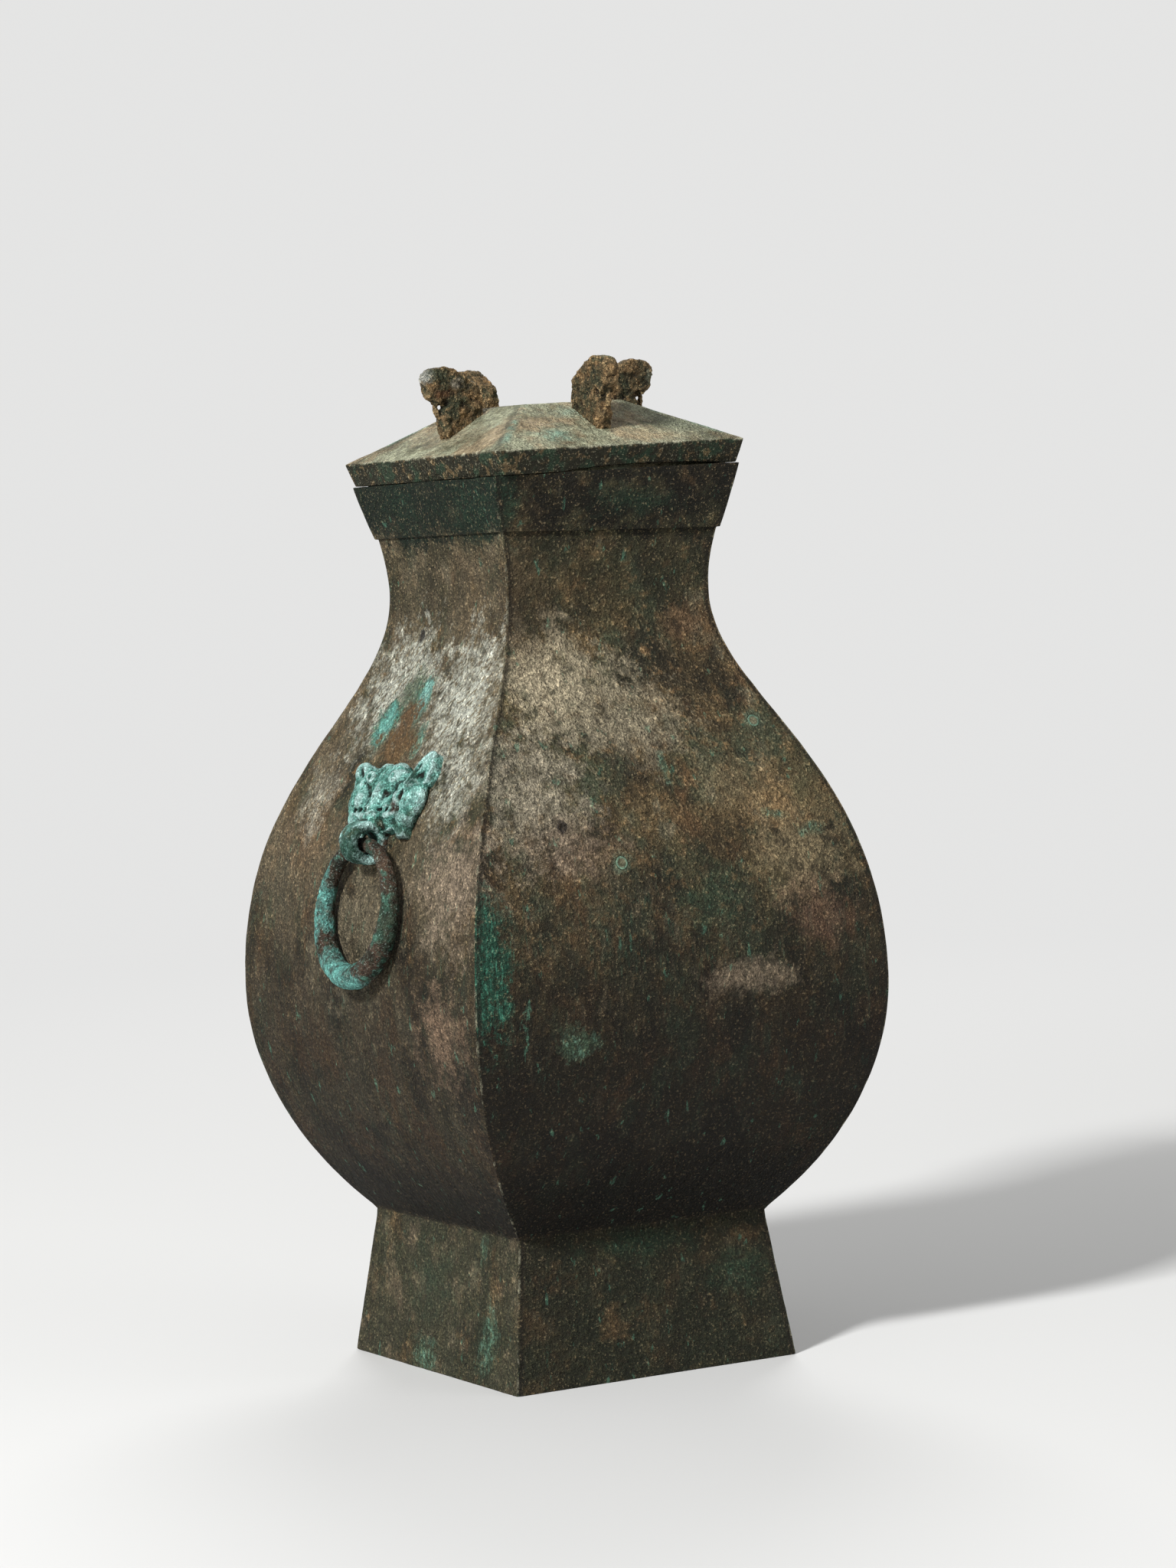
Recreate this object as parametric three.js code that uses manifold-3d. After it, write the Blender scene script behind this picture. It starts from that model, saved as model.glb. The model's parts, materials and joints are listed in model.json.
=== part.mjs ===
// A square-section bronze wine vessel with a hip-roofed lid, four bird finials and two ring handles.
// Millimetres, +Z up. The origin is the middle of the foot's underside.
// The ring handles are on the -X and +X faces; the plain faces look along -Y and +Y.

import * as THREE from 'three';
import { mergeVertices } from 'three/addons/utils/BufferGeometryUtils.js';
import Module from 'manifold-3d';

const wasm = await Module();
wasm.setup();

// The gap between two pieces where one seats on the other
const SEAT_GAP = 0.3;

// Foot: splayed, hollow and open below
const FOOT_HEIGHT = 66;
const FOOT_TOP_HALF = 64.2;
const FOOT_SPLAY = 9.1;

// Belly: from the foot up to its widest line
const BELLY_RISE = 106;
const BELLY_HALF = 107;
const BELLY_CROWN = 2.4;

// Shoulder: from the widest line up to the waist of the neck
const SHOULDER_RISE = 174.8;
const SHOULDER_FULLNESS = 0.55;
const NECK_FULLNESS = 0.27;
const NECK_HALF = 52.6;

// Neck above its waist, and the collar band under the rim
const FLARE_RISE = 26.8;
const FLARE_SPREAD = 3.4;
const BAND_STEP = 1.2;
const BAND_HEIGHT = 26.4;
const BAND_SPREAD = 6.8;

// The mouth is out of level: its rim, and the lid on it, rise towards +X
const MOUTH_TILT = THREE.MathUtils.degToRad(2.1);

// The lid lies loose in the mouth, turned a little
const LID_TURN = THREE.MathUtils.degToRad(2.6);

// Thickness of the casting
const WALL = 2.6;
const FLOOR = 3;

// Lid: thick undercut edge, four slopes and a small flat top
const LID_SEAT_INSET = 1.7;
const LID_EDGE_HEIGHT = 10.2;
const LID_EDGE_LEAN = 3;
const ROOF_RISE = 21;
const ROOF_FLAT_HALF = 26.5;
const LID_WALL = 2.6;
const SPIGOT_DEPTH = 12;
const SPIGOT_CLEARANCE = 3.2;

// Finials: a bird outline in a thick plate, held by a tenon through the slope
const FINIAL_INSET = 14.3;
const FINIAL_HEIGHT = 32.6;
const FINIAL_THICKNESS = 8.4;
const FINIAL_BEVEL = 2;
const FINIAL_TENON_WIDTH = 4;
const FINIAL_TENON_LENGTH = 8;
const FINIAL_TENON_DEPTH = 5.5;

// Mask: the beast face on the shoulder, above its nose loop
const MASK_HEIGHT = 257;
const MASK_OFFSET = 13.5;
const MASK_WIDTH = 64;
const MASK_ROLL = THREE.MathUtils.degToRad(3);
const MASK_PLATE = 5;
const MASK_BEVEL = 1.4;
const MASK_TENON_RADIUS = 4;
const MASK_TENON_REACH = 6;
const EYE_RADIUS = 4.6;
const EYE_SPACING = 21;
const EAR_RADIUS = 6.2;
const EAR_THICKNESS = 2.8;
const EAR_SPACING = 45;

// Nose loop and the ring that hangs in it
const LOOP_DROP = 21.2;
const LOOP_WIDTH = 12;
const LOOP_THICKNESS = 4;
const LOOP_STANDOFF = 7.4;
const RING_RADIUS = 29.6;
const RING_TOP_THICKNESS = 7.4;
const RING_BOTTOM_THICKNESS = 11.2;
const RING_PLAY = 1;

// Chaplets: round spacer pads left in the wall of the plain faces, as place across and height
const CHAPLET_RADIUS = 3;
const CHAPLET_LOW = { across: -28.5, height: 230 };
const CHAPLET_HIGH = { across: 59.3, height: 287 };

// Fineness of the facets
const SIDE_STEPS = 6;
const BELLY_STEPS = 12;
const SHOULDER_STEPS = 18;
const FLARE_STEPS = 4;
const RING_STEPS = 44;
const TUBE_STEPS = 12;
const ROUND_STEPS = 16;
const BOSS_STEPS = 10;
const EAR_STEPS = 16;

// How far a cutting solid runs past what it cuts
const OVERCUT = 4;

// Heights that follow from the sizes above
const BELLY_Z = FOOT_HEIGHT + BELLY_RISE;
const WAIST_Z = BELLY_Z + SHOULDER_RISE;
const BAND_Z = WAIST_Z + FLARE_RISE;
const RIM_Z = BAND_Z + BAND_HEIGHT;
const FLARE_HALF = NECK_HALF + FLARE_SPREAD;
const RIM_HALF = FLARE_HALF + BAND_STEP + BAND_SPREAD;

// Heights in the lid, over the middle of the rim
const LID_Z = SEAT_GAP;
const EAVES_Z = LID_Z + LID_EDGE_HEIGHT;
const ROOF_Z = EAVES_Z + ROOF_RISE;
const LID_SEAT_HALF = RIM_HALF - LID_SEAT_INSET;
const EAVES_HALF = LID_SEAT_HALF + LID_EDGE_LEAN;
const ROOF_SLOPE = ROOF_RISE / (EAVES_HALF - ROOF_FLAT_HALF);

function bronze(color, roughness) {
  return new THREE.MeshStandardMaterial({ color, roughness, metalness: 0.35 });
}

const brownPatina = bronze(0x5b5446, 0.85);
const sagePatina = bronze(0x6d7563, 0.85);
const earthPatina = bronze(0x7a664c, 0.95);
const turquoisePatina = bronze(0x5fa79c, 0.9);
const ringPatina = bronze(0x3f6a5f, 0.85);

// A closed three.js geometry becomes a solid once its shared vertices are merged
function toSolid(geometry) {
  const bare = new THREE.BufferGeometry();
  const source = geometry.index ? geometry.toNonIndexed() : geometry;
  bare.setAttribute('position', source.getAttribute('position').clone());
  const merged = mergeVertices(bare, 1e-4);
  return new wasm.Manifold(new wasm.Mesh({
    numProp: 3,
    vertProperties: new Float32Array(merged.getAttribute('position').array),
    triVerts: new Uint32Array(merged.index.array),
  }));
}

function toGeometry(solid) {
  const { vertProperties, triVerts } = solid.getMesh();
  const geometry = new THREE.BufferGeometry();
  geometry.setAttribute('position', new THREE.BufferAttribute(vertProperties, 3));
  geometry.setIndex(new THREE.BufferAttribute(triVerts, 1));
  geometry.computeVertexNormals();
  return geometry;
}

function piece(name, solid, material) {
  const mesh = new THREE.Mesh(toGeometry(solid), material);
  mesh.name = name;
  return mesh;
}

function placed(geometry, matrix) {
  return toSolid(geometry.clone().applyMatrix4(matrix));
}

function joined(solids) {
  return solids.reduce((whole, solid) => whole.add(solid));
}

// One level of a square section, anticlockwise from above: its four sides swell by the crown, and it
// climbs towards +X by the tilt
function squareLevel({ half, z, crown = 0, tilt = 0 }, sideSteps) {
  const level = [];
  for (let side = 0; side < 4; side += 1) {
    const turn = side * Math.PI / 2;
    for (let step = 0; step < sideSteps; step += 1) {
      const along = -1 + 2 * step / sideSteps;
      const point = new THREE.Vector3(half + crown * (1 - along * along), half * along, z);
      point.applyAxisAngle(new THREE.Vector3(0, 0, 1), turn);
      point.z += point.x * Math.tan(tilt);
      level.push(point);
    }
  }
  return level;
}

// A solid through square levels listed from the bottom up
function squareLoft(levels, sideSteps) {
  const count = 4 * sideSteps;
  const points = levels.flatMap((level) => squareLevel(level, sideSteps));
  const bottomCentre = points.length;
  const topCentre = bottomCentre + 1;
  points.push(new THREE.Vector3(0, 0, levels[0].z));
  points.push(new THREE.Vector3(0, 0, levels[levels.length - 1].z));
  const lastLevel = (levels.length - 1) * count;
  const index = [];
  for (let i = 0; i < count; i += 1) {
    const next = (i + 1) % count;
    for (let start = 0; start < lastLevel; start += count) {
      index.push(start + i, start + next, start + count + next);
      index.push(start + i, start + count + next, start + count + i);
    }
    index.push(bottomCentre, next, i);
    index.push(topCentre, lastLevel + i, lastLevel + next);
  }
  const geometry = new THREE.BufferGeometry().setFromPoints(points);
  geometry.setIndex(index);
  return toSolid(geometry);
}

// The outline of the belly, shoulder and neck, drawn as half-width against height
function bodyPath() {
  const path = new THREE.Path();
  const swell = BELLY_HALF - FOOT_TOP_HALF;
  const arcRadius = (BELLY_RISE ** 2 + swell ** 2) / (2 * swell);
  const arcStart = Math.asin(BELLY_RISE / arcRadius);
  path.moveTo(FOOT_TOP_HALF, FOOT_HEIGHT);
  path.absarc(BELLY_HALF - arcRadius, BELLY_Z, arcRadius, -arcStart, 0, false);
  path.bezierCurveTo(
    BELLY_HALF, BELLY_Z + SHOULDER_FULLNESS * SHOULDER_RISE,
    NECK_HALF, WAIST_Z - NECK_FULLNESS * SHOULDER_RISE,
    NECK_HALF, WAIST_Z,
  );
  path.quadraticCurveTo(NECK_HALF, WAIST_Z + FLARE_RISE / 2, FLARE_HALF, BAND_Z);
  return path;
}

// The faces swell with the belly: not at all at the foot and the neck, most at the widest line
function crownAt(half, z) {
  const narrow = z < BELLY_Z ? FOOT_TOP_HALF : NECK_HALF;
  const share = (half - narrow) / (BELLY_HALF - narrow);
  return BELLY_CROWN * Math.max(0, share);
}

// Levels of the body from foot top to band, moved along the wall's normal by grow
function bodyLevels(grow) {
  const curves = bodyPath().curves.filter((curve) => curve.getLength() > 1);
  const steps = [BELLY_STEPS, SHOULDER_STEPS, FLARE_STEPS];
  const levels = [];
  curves.forEach((curve, which) => {
    for (let step = which === 0 ? 0 : 1; step <= steps[which]; step += 1) {
      const point = curve.getPoint(step / steps[which]);
      const along = curve.getTangent(step / steps[which]);
      levels.push({
        half: point.x + grow * along.y,
        z: point.y - grow * along.x,
        crown: crownAt(point.x, point.y),
      });
    }
  });
  return levels;
}

function footHalfAt(z) {
  return FOOT_TOP_HALF + FOOT_SPLAY * (1 - z / FOOT_HEIGHT);
}

// The inside of the mouth tapers evenly from the rim down to the top of the neck
function mouthHalfAt(overRim) {
  const spread = RIM_HALF - FLARE_HALF;
  return RIM_HALF - WALL + spread * overRim / BAND_HEIGHT;
}

// Everything inside the outer skin, grown by a gap where another piece has to clear it
function bodyEnvelope(grow) {
  return squareLoft([
    { half: footHalfAt(0) + grow, z: 0 },
    ...bodyLevels(grow),
    { half: FLARE_HALF + BAND_STEP + grow, z: BAND_Z + grow / 2 },
    { half: RIM_HALF + grow, z: RIM_Z, tilt: MOUTH_TILT },
  ], SIDE_STEPS);
}

const interiorLevels = bodyLevels(-WALL);
const INNER_FLOOR_Z = interiorLevels[0].z;
const FOOT_CEILING_Z = INNER_FLOOR_Z - FLOOR;

function bodyInterior() {
  return squareLoft([
    ...interiorLevels,
    { half: mouthHalfAt(OVERCUT), z: RIM_Z + OVERCUT, tilt: MOUTH_TILT },
  ], SIDE_STEPS);
}

function footHollow() {
  return squareLoft([
    { half: footHalfAt(-OVERCUT) - WALL, z: -OVERCUT },
    { half: footHalfAt(FOOT_CEILING_Z) - WALL, z: FOOT_CEILING_Z },
  ], 1);
}

// The outer face of the -X side: how far it stands from the axis at a place across and a height
const outerLevels = bodyLevels(0);

function levelAt(z) {
  const above = outerLevels.findIndex((level) => level.z >= z);
  const low = outerLevels[above - 1];
  const high = outerLevels[above];
  const share = (z - low.z) / (high.z - low.z);
  return {
    half: THREE.MathUtils.lerp(low.half, high.half, share),
    crown: THREE.MathUtils.lerp(low.crown, high.crown, share),
    lean: Math.atan2(low.half - high.half, high.z - low.z),
  };
}

function faceAt(across, z) {
  const { half, crown } = levelAt(z);
  return half + crown * (1 - (across / half) ** 2);
}

// A frame on the -X face: x to the viewer's right, y up the leaning wall, z straight out of it
function faceFrame(across, z) {
  const { lean } = levelAt(z);
  const right = new THREE.Vector3(0, -1, 0);
  const up = new THREE.Vector3(Math.sin(lean), 0, Math.cos(lean));
  const out = new THREE.Vector3(-Math.cos(lean), 0, Math.sin(lean));
  return new THREE.Matrix4()
    .makeBasis(right, up, out)
    .setPosition(-faceAt(across, z), -across, z);
}

const maskFrame = faceFrame(MASK_OFFSET, MASK_HEIGHT);

function ellipsoid(radii, centre, turn = 0) {
  const geometry = new THREE.SphereGeometry(1, BOSS_STEPS, BOSS_STEPS / 2 + 2);
  geometry.scale(...radii);
  geometry.rotateZ(turn);
  geometry.translate(...centre);
  return geometry;
}

// A straight round bar along the frame's z from one height to another
function pegGeometry(radius, from, to) {
  const geometry = new THREE.CylinderGeometry(radius, radius, to - from, ROUND_STEPS);
  geometry.rotateX(Math.PI / 2);
  geometry.translate(0, 0, (from + to) / 2);
  return geometry;
}

// The mask is drawn on a grid 64 units wide
const maskUnit = MASK_WIDTH / 64;

// One half of the mask's outline, from the crest down to the chin: ear tip, ear, cheek and jaw scroll
const MASK_OUTLINE = [
  [0, 18.5], [13, 14.5], [21, 17.5], [28.5, 19], [32, 9], [28, 0], [24.5, -9], [26, -16.5], [19, -19],
  [11, -14], [6, -15],
];

// The mask's plate, with its upper edge rounded
function maskPlate() {
  const half = MASK_OUTLINE.map(([x, y]) => new THREE.Vector2(x, y).multiplyScalar(maskUnit));
  const right = new THREE.SplineCurve(half).getPoints(2 * (half.length - 1));
  const left = right.slice(1).reverse().map(({ x, y }) => new THREE.Vector2(-x, y));
  const geometry = new THREE.ExtrudeGeometry(new THREE.Shape([...right, ...left]), {
    depth: MASK_PLATE + OVERCUT - MASK_BEVEL,
    bevelThickness: MASK_BEVEL,
    bevelSize: MASK_BEVEL,
    bevelOffset: -MASK_BEVEL,
    bevelSegments: 1,
  });
  geometry.translate(0, 0, -OVERCUT);
  return geometry;
}

// A boss of the mask's relief, in units of its drawing and raised from the plate's face
function maskBoss(radii, [x, y, raised], turn = 0) {
  const centre = [x * maskUnit, y * maskUnit, MASK_PLATE + raised * maskUnit];
  return ellipsoid(radii.map((radius) => radius * maskUnit), centre, turn);
}

// One ear, a thick roll that curls inwards; side is +1 on the right and -1 on the left
function earCurl(side) {
  const geometry = new THREE.TorusGeometry(EAR_RADIUS, EAR_THICKNESS, EAR_STEPS / 2, EAR_STEPS);
  geometry.translate(side * EAR_SPACING / 2, 10.5 * maskUnit, MASK_PLATE - EAR_THICKNESS / 2);
  return geometry;
}

// The relief of one half of the face: eye, brow, cheek and the scroll of the jaw
function maskHalf(side) {
  const eye = new THREE.SphereGeometry(EYE_RADIUS, BOSS_STEPS, BOSS_STEPS / 2 + 2);
  eye.translate(side * EYE_SPACING / 2, 0, MASK_PLATE);
  return [
    eye,
    maskBoss([8, 2.6, 3.4], [side * 10, 8, 0], side * 0.2),
    maskBoss([8.5, 3.4, 3.2], [side * 20, -4, -0.4], -side * 0.9),
    maskBoss([5.6, 3.6, 3], [side * 18.5, -13, -0.4], side * 0.4),
    earCurl(side),
  ];
}

// The nose runs down from the brow into the loop
function maskNose() {
  return [
    maskBoss([4.4, 12, 4.4], [0, 2, 0]),
    maskBoss([7, 5.4, 5], [0, -10, 1.4]),
  ];
}

const LOOP_HOLE_RADIUS = RING_TOP_THICKNESS / 2 + RING_PLAY
  + RING_RADIUS - Math.sqrt(RING_RADIUS ** 2 - (LOOP_WIDTH / 2) ** 2);
const LOOP_RADIUS = LOOP_HOLE_RADIUS + LOOP_THICKNESS;
const loopCentre = new THREE.Vector3(0, -LOOP_DROP, LOOP_STANDOFF);

// A round bar across the mask, on the line that the ring turns about
function crossBar(radius, width) {
  const geometry = new THREE.CylinderGeometry(radius, radius, width, ROUND_STEPS);
  geometry.rotateZ(Math.PI / 2);
  geometry.translate(loopCentre.x, loopCentre.y, loopCentre.z);
  return placed(geometry, maskFrame);
}

function maskTenon(radius, from) {
  return placed(pegGeometry(radius, from, OVERCUT), maskFrame);
}

function mask() {
  const relief = [maskPlate(), ...maskHalf(1), ...maskHalf(-1), ...maskNose()];
  const rolled = maskFrame.clone().multiply(new THREE.Matrix4().makeRotationZ(MASK_ROLL));
  const face = joined(relief.map((geometry) => placed(geometry, rolled)));
  const looped = face.add(crossBar(LOOP_RADIUS, LOOP_WIDTH));
  const pierced = looped.subtract(crossBar(LOOP_HOLE_RADIUS, 2 * EAR_SPACING));
  const seated = pierced.subtract(bodyEnvelope(SEAT_GAP));
  return seated.add(maskTenon(MASK_TENON_RADIUS, -MASK_TENON_REACH));
}

// The ring hangs from the middle of the loop's hole, and its foot leans on the belly
const ringPivot = loopCentre.clone().applyMatrix4(maskFrame);

function tubeRadiusAt(turn) {
  return THREE.MathUtils.lerp(RING_TOP_THICKNESS, RING_BOTTOM_THICKNESS, (1 - Math.cos(turn)) / 2) / 2;
}

// How far the ring's tube stands clear of the wall, at its nearest, when it leans out by tilt
function ringClearance(tilt) {
  let nearest = Infinity;
  for (let step = 0; step < RING_STEPS; step += 1) {
    const turn = 2 * Math.PI * step / RING_STEPS;
    const down = RING_RADIUS * (1 - Math.cos(turn));
    const out = -ringPivot.x + down * Math.sin(tilt);
    const z = ringPivot.z - down * Math.cos(tilt);
    const across = -ringPivot.y + RING_RADIUS * Math.sin(turn);
    const { lean } = levelAt(z);
    const gap = (out - faceAt(across, z)) * Math.cos(lean) - tubeRadiusAt(turn);
    nearest = Math.min(nearest, gap);
  }
  return nearest;
}

function ringTilt() {
  let low = -Math.PI / 6;
  let high = Math.PI / 3;
  for (let round = 0; round < 30; round += 1) {
    const middle = (low + high) / 2;
    if (ringClearance(middle) > SEAT_GAP) high = middle;
    else low = middle;
  }
  return high;
}

// A ring whose tube is worn thin where it hangs and thickens towards its foot
function ring() {
  const geometry = new THREE.TorusGeometry(RING_RADIUS, 1, TUBE_STEPS, RING_STEPS);
  const position = geometry.getAttribute('position');
  const point = new THREE.Vector3();
  for (let i = 0; i < position.count; i += 1) {
    point.fromBufferAttribute(position, i);
    const turn = Math.atan2(point.x, point.y);
    const centre = new THREE.Vector3(Math.sin(turn), Math.cos(turn), 0).multiplyScalar(RING_RADIUS);
    point.sub(centre).multiplyScalar(tubeRadiusAt(turn)).add(centre);
    position.setXYZ(i, point.x, point.y - RING_RADIUS, point.z);
  }
  const tilt = ringTilt();
  const right = new THREE.Vector3(0, -1, 0);
  const up = new THREE.Vector3(Math.sin(tilt), 0, Math.cos(tilt));
  const out = new THREE.Vector3(-Math.cos(tilt), 0, Math.sin(tilt));
  const frame = new THREE.Matrix4().makeBasis(right, up, out).setPosition(ringPivot);
  return placed(geometry, frame);
}

// The second handle is the first one turned half round the vessel
function opposite(solid) {
  return solid.rotate([0, 0, 180]);
}

// A round bar through the front wall at a chaplet's place
function chapletBar({ across, height }, radius) {
  const length = 2 * WALL + 2 * OVERCUT;
  const geometry = new THREE.CylinderGeometry(radius, radius, length, ROUND_STEPS);
  geometry.rotateX(-levelAt(height).lean);
  geometry.translate(across, -faceAt(across, height), height);
  return toSolid(geometry);
}

const envelope = bodyEnvelope(0);
const interior = bodyInterior();

function chaplet(place) {
  return chapletBar(place, CHAPLET_RADIUS).intersect(envelope).subtract(interior);
}

function vesselBody() {
  const tenonHole = maskTenon(MASK_TENON_RADIUS + SEAT_GAP, -2 * MASK_TENON_REACH);
  const chapletHoles = [CHAPLET_LOW, CHAPLET_HIGH].map(
    (place) => chapletBar(place, CHAPLET_RADIUS + SEAT_GAP),
  );
  const holes = [tenonHole, ...chapletHoles];
  const shell = envelope.subtract(interior).subtract(footHollow());
  return [...holes, ...holes.map(opposite)].reduce((body, hole) => body.subtract(hole), shell);
}

// The lid's outer form, grown by a gap where a finial seats on it
function lidEnvelope(grow) {
  const lift = grow * Math.hypot(1, ROOF_SLOPE);
  return squareLoft([
    { half: LID_SEAT_HALF, z: LID_Z },
    { half: EAVES_HALF, z: EAVES_Z + lift },
    { half: ROOF_FLAT_HALF, z: ROOF_Z + lift },
  ], 1);
}

// The spigot follows the taper of the mouth, so the lid lifts straight out
function spigotLevels(inset) {
  const bottom = LID_Z - SPIGOT_DEPTH;
  return [
    { half: mouthHalfAt(bottom) - SPIGOT_CLEARANCE - inset, z: bottom },
    { half: mouthHalfAt(LID_Z) - SPIGOT_CLEARANCE - inset, z: LID_Z },
  ];
}

function lidHollow() {
  const drop = LID_WALL * Math.hypot(1, ROOF_SLOPE);
  const [bottom, seat] = spigotLevels(LID_WALL);
  const wallTop = EAVES_Z + (EAVES_HALF - seat.half) * ROOF_SLOPE - drop;
  const ceiling = ROOF_Z - LID_WALL;
  const flat = ROOF_FLAT_HALF - (drop - LID_WALL) / ROOF_SLOPE;
  return squareLoft([
    { half: bottom.half, z: bottom.z - OVERCUT },
    bottom,
    seat,
    { half: seat.half, z: wallTop },
    { half: flat, z: ceiling },
  ], 1);
}

// A finial is drawn on a grid 32.6 units high: out from its seat, and up
const finialUnit = FINIAL_HEIGHT / 32.6;
const FINIAL_OUTLINE = [
  [-4, -6], [-0.4, 0.4], [1.8, 8.9], [0.6, 12.3], [-1.4, 15.7], [3.4, 15.7], [8.2, 20.5],
  [9.4, 26.7], [5, 31.6], [-2.4, 32.6], [-12.6, 27], [-18.6, 21.8], [-19.8, 16.5], [-18.8, 8.5],
];

const FINIAL_OUT = EAVES_HALF - FINIAL_INSET;
const FINIAL_Z = EAVES_Z + FINIAL_INSET * ROOF_SLOPE;

// A frame on the -X slope: x straight out from the axis, y up, z across
function finialFrame() {
  const out = new THREE.Vector3(-1, 0, 0);
  const up = new THREE.Vector3(0, 0, 1);
  const across = new THREE.Vector3(0, 1, 0);
  return new THREE.Matrix4().makeBasis(out, up, across).setPosition(-FINIAL_OUT, 0, FINIAL_Z);
}

function finialPlate() {
  const points = FINIAL_OUTLINE.map(([out, up]) => new THREE.Vector2(out, up).multiplyScalar(finialUnit));
  const outline = new THREE.SplineCurve(points).getPoints(2 * (points.length - 1));
  const geometry = new THREE.ExtrudeGeometry(new THREE.Shape(outline), {
    depth: FINIAL_THICKNESS - 2 * FINIAL_BEVEL,
    bevelThickness: FINIAL_BEVEL,
    bevelSize: FINIAL_BEVEL,
    bevelOffset: -FINIAL_BEVEL,
    bevelSegments: 2,
  });
  geometry.translate(0, 0, FINIAL_BEVEL - FINIAL_THICKNESS / 2);
  return geometry;
}

// A boss on a finial's flat side, in units of its drawing; side is +1 or -1
function finialBoss(radii, [out, up], side) {
  const centre = [out * finialUnit, up * finialUnit, side * FINIAL_THICKNESS / 2];
  return ellipsoid(radii.map((radius) => radius * finialUnit), centre);
}

// The tenon under a finial, or with a margin the hole for it
function finialTenon(margin) {
  const geometry = new THREE.BoxGeometry(
    FINIAL_TENON_LENGTH + 2 * margin,
    2 * FINIAL_TENON_DEPTH + 2 * margin,
    FINIAL_TENON_WIDTH + 2 * margin,
  );
  const middle = -FINIAL_INSET / 2 - FINIAL_TENON_LENGTH / 4;
  geometry.translate(middle, -middle * ROOF_SLOPE, 0);
  return placed(geometry, finialFrame());
}

function finial() {
  const bosses = [1, -1].flatMap((side) => [
    finialBoss([2.3, 2.3, 1.6], [4, 26], side),
    finialBoss([5.2, 4.2, 1.8], [-11.6, 19], side),
  ]);
  const bird = joined([finialPlate(), ...bosses].map((geometry) => placed(geometry, finialFrame())));
  return bird.subtract(lidEnvelope(SEAT_GAP)).add(finialTenon(0));
}

// Each finial is the left one turned about the lid's axis, after a slide along its own slope
const FINIAL_PLACES = {
  left: { turn: 0, slide: 1.5 },
  front: { turn: 90, slide: 0.4 },
  right: { turn: 180, slide: 1.5 },
  back: { turn: 270, slide: -4.3 },
};

function onSlope(solid, { turn, slide }) {
  return solid.translate([0, slide, 0]).rotate([0, 0, turn]);
}

function lidPlate() {
  const cover = lidEnvelope(0).add(squareLoft(spigotLevels(0), 1)).subtract(lidHollow());
  const tenonHole = finialTenon(SEAT_GAP);
  return Object.values(FINIAL_PLACES).reduce(
    (lid, place) => lid.subtract(onSlope(tenonHole, place)),
    cover,
  );
}

const vessel = new THREE.Group();
vessel.add(piece('vessel_body', vesselBody(), brownPatina));

const leftMask = mask();
const leftRing = ring();
vessel.add(piece('mask_left', leftMask, turquoisePatina));
vessel.add(piece('mask_right', opposite(leftMask), turquoisePatina));
vessel.add(piece('ring_left', leftRing, ringPatina));
vessel.add(piece('ring_right', opposite(leftRing), ringPatina));

for (const [level, place] of Object.entries({ low: CHAPLET_LOW, high: CHAPLET_HIGH })) {
  const pad = chaplet(place);
  vessel.add(piece(`chaplet_front_${level}`, pad, sagePatina));
  vessel.add(piece(`chaplet_back_${level}`, opposite(pad), sagePatina));
}

// The lid lies on the rim, turned in a frame of its own that tilts with the mouth
const lid = new THREE.Group();
lid.position.z = RIM_Z;
lid.rotation.set(0, -MOUTH_TILT, LID_TURN);
lid.add(piece('lid_plate', lidPlate(), sagePatina));
const bird = finial();
for (const [side, place] of Object.entries(FINIAL_PLACES)) {
  lid.add(piece(`finial_${side}`, onSlope(bird, place), earthPatina));
}
vessel.add(lid);

export default vessel;
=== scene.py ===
# %% [markdown]
# A square bronze wine vessel, dug up after two thousand years in the ground: a hollow foot, a wide
# belly, a lid shaped like a hipped roof with four bird finials, and a ring handle hanging from a beast
# mask on each of two faces. The exact solids come first and stay as the frame. Every step below then
# models one casting over its solid and gives it the patina that the ground left on it.

# %% Load the frame and keep its box
import json
import math

import bpy
import numpy as np
from mathutils import Euler, Matrix, Vector

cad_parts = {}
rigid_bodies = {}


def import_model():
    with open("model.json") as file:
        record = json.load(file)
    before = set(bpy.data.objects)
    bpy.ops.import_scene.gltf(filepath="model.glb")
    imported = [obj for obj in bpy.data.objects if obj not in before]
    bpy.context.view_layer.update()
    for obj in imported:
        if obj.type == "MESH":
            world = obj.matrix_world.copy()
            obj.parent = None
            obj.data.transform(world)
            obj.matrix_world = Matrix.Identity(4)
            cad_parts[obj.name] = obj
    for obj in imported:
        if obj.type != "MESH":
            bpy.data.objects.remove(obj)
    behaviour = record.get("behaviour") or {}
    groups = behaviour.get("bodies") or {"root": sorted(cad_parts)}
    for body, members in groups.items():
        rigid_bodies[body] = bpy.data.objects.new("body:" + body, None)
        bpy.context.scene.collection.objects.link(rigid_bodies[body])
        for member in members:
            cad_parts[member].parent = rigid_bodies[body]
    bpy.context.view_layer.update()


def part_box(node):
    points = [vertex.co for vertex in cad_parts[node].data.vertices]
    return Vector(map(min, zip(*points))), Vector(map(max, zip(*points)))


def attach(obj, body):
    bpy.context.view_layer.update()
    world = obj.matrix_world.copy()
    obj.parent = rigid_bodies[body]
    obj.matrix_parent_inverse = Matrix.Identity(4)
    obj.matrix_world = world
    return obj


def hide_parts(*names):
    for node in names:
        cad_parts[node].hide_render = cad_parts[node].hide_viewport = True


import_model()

MM = 0.001

# %% [markdown]
# The sizes below are those of the solids, in millimetres, so that each casting lies on its own solid.
# Heights in the lid are counted from the middle of the rim, because the mouth of this old vessel is
# out of level and the lid lies tilted on it.

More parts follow.
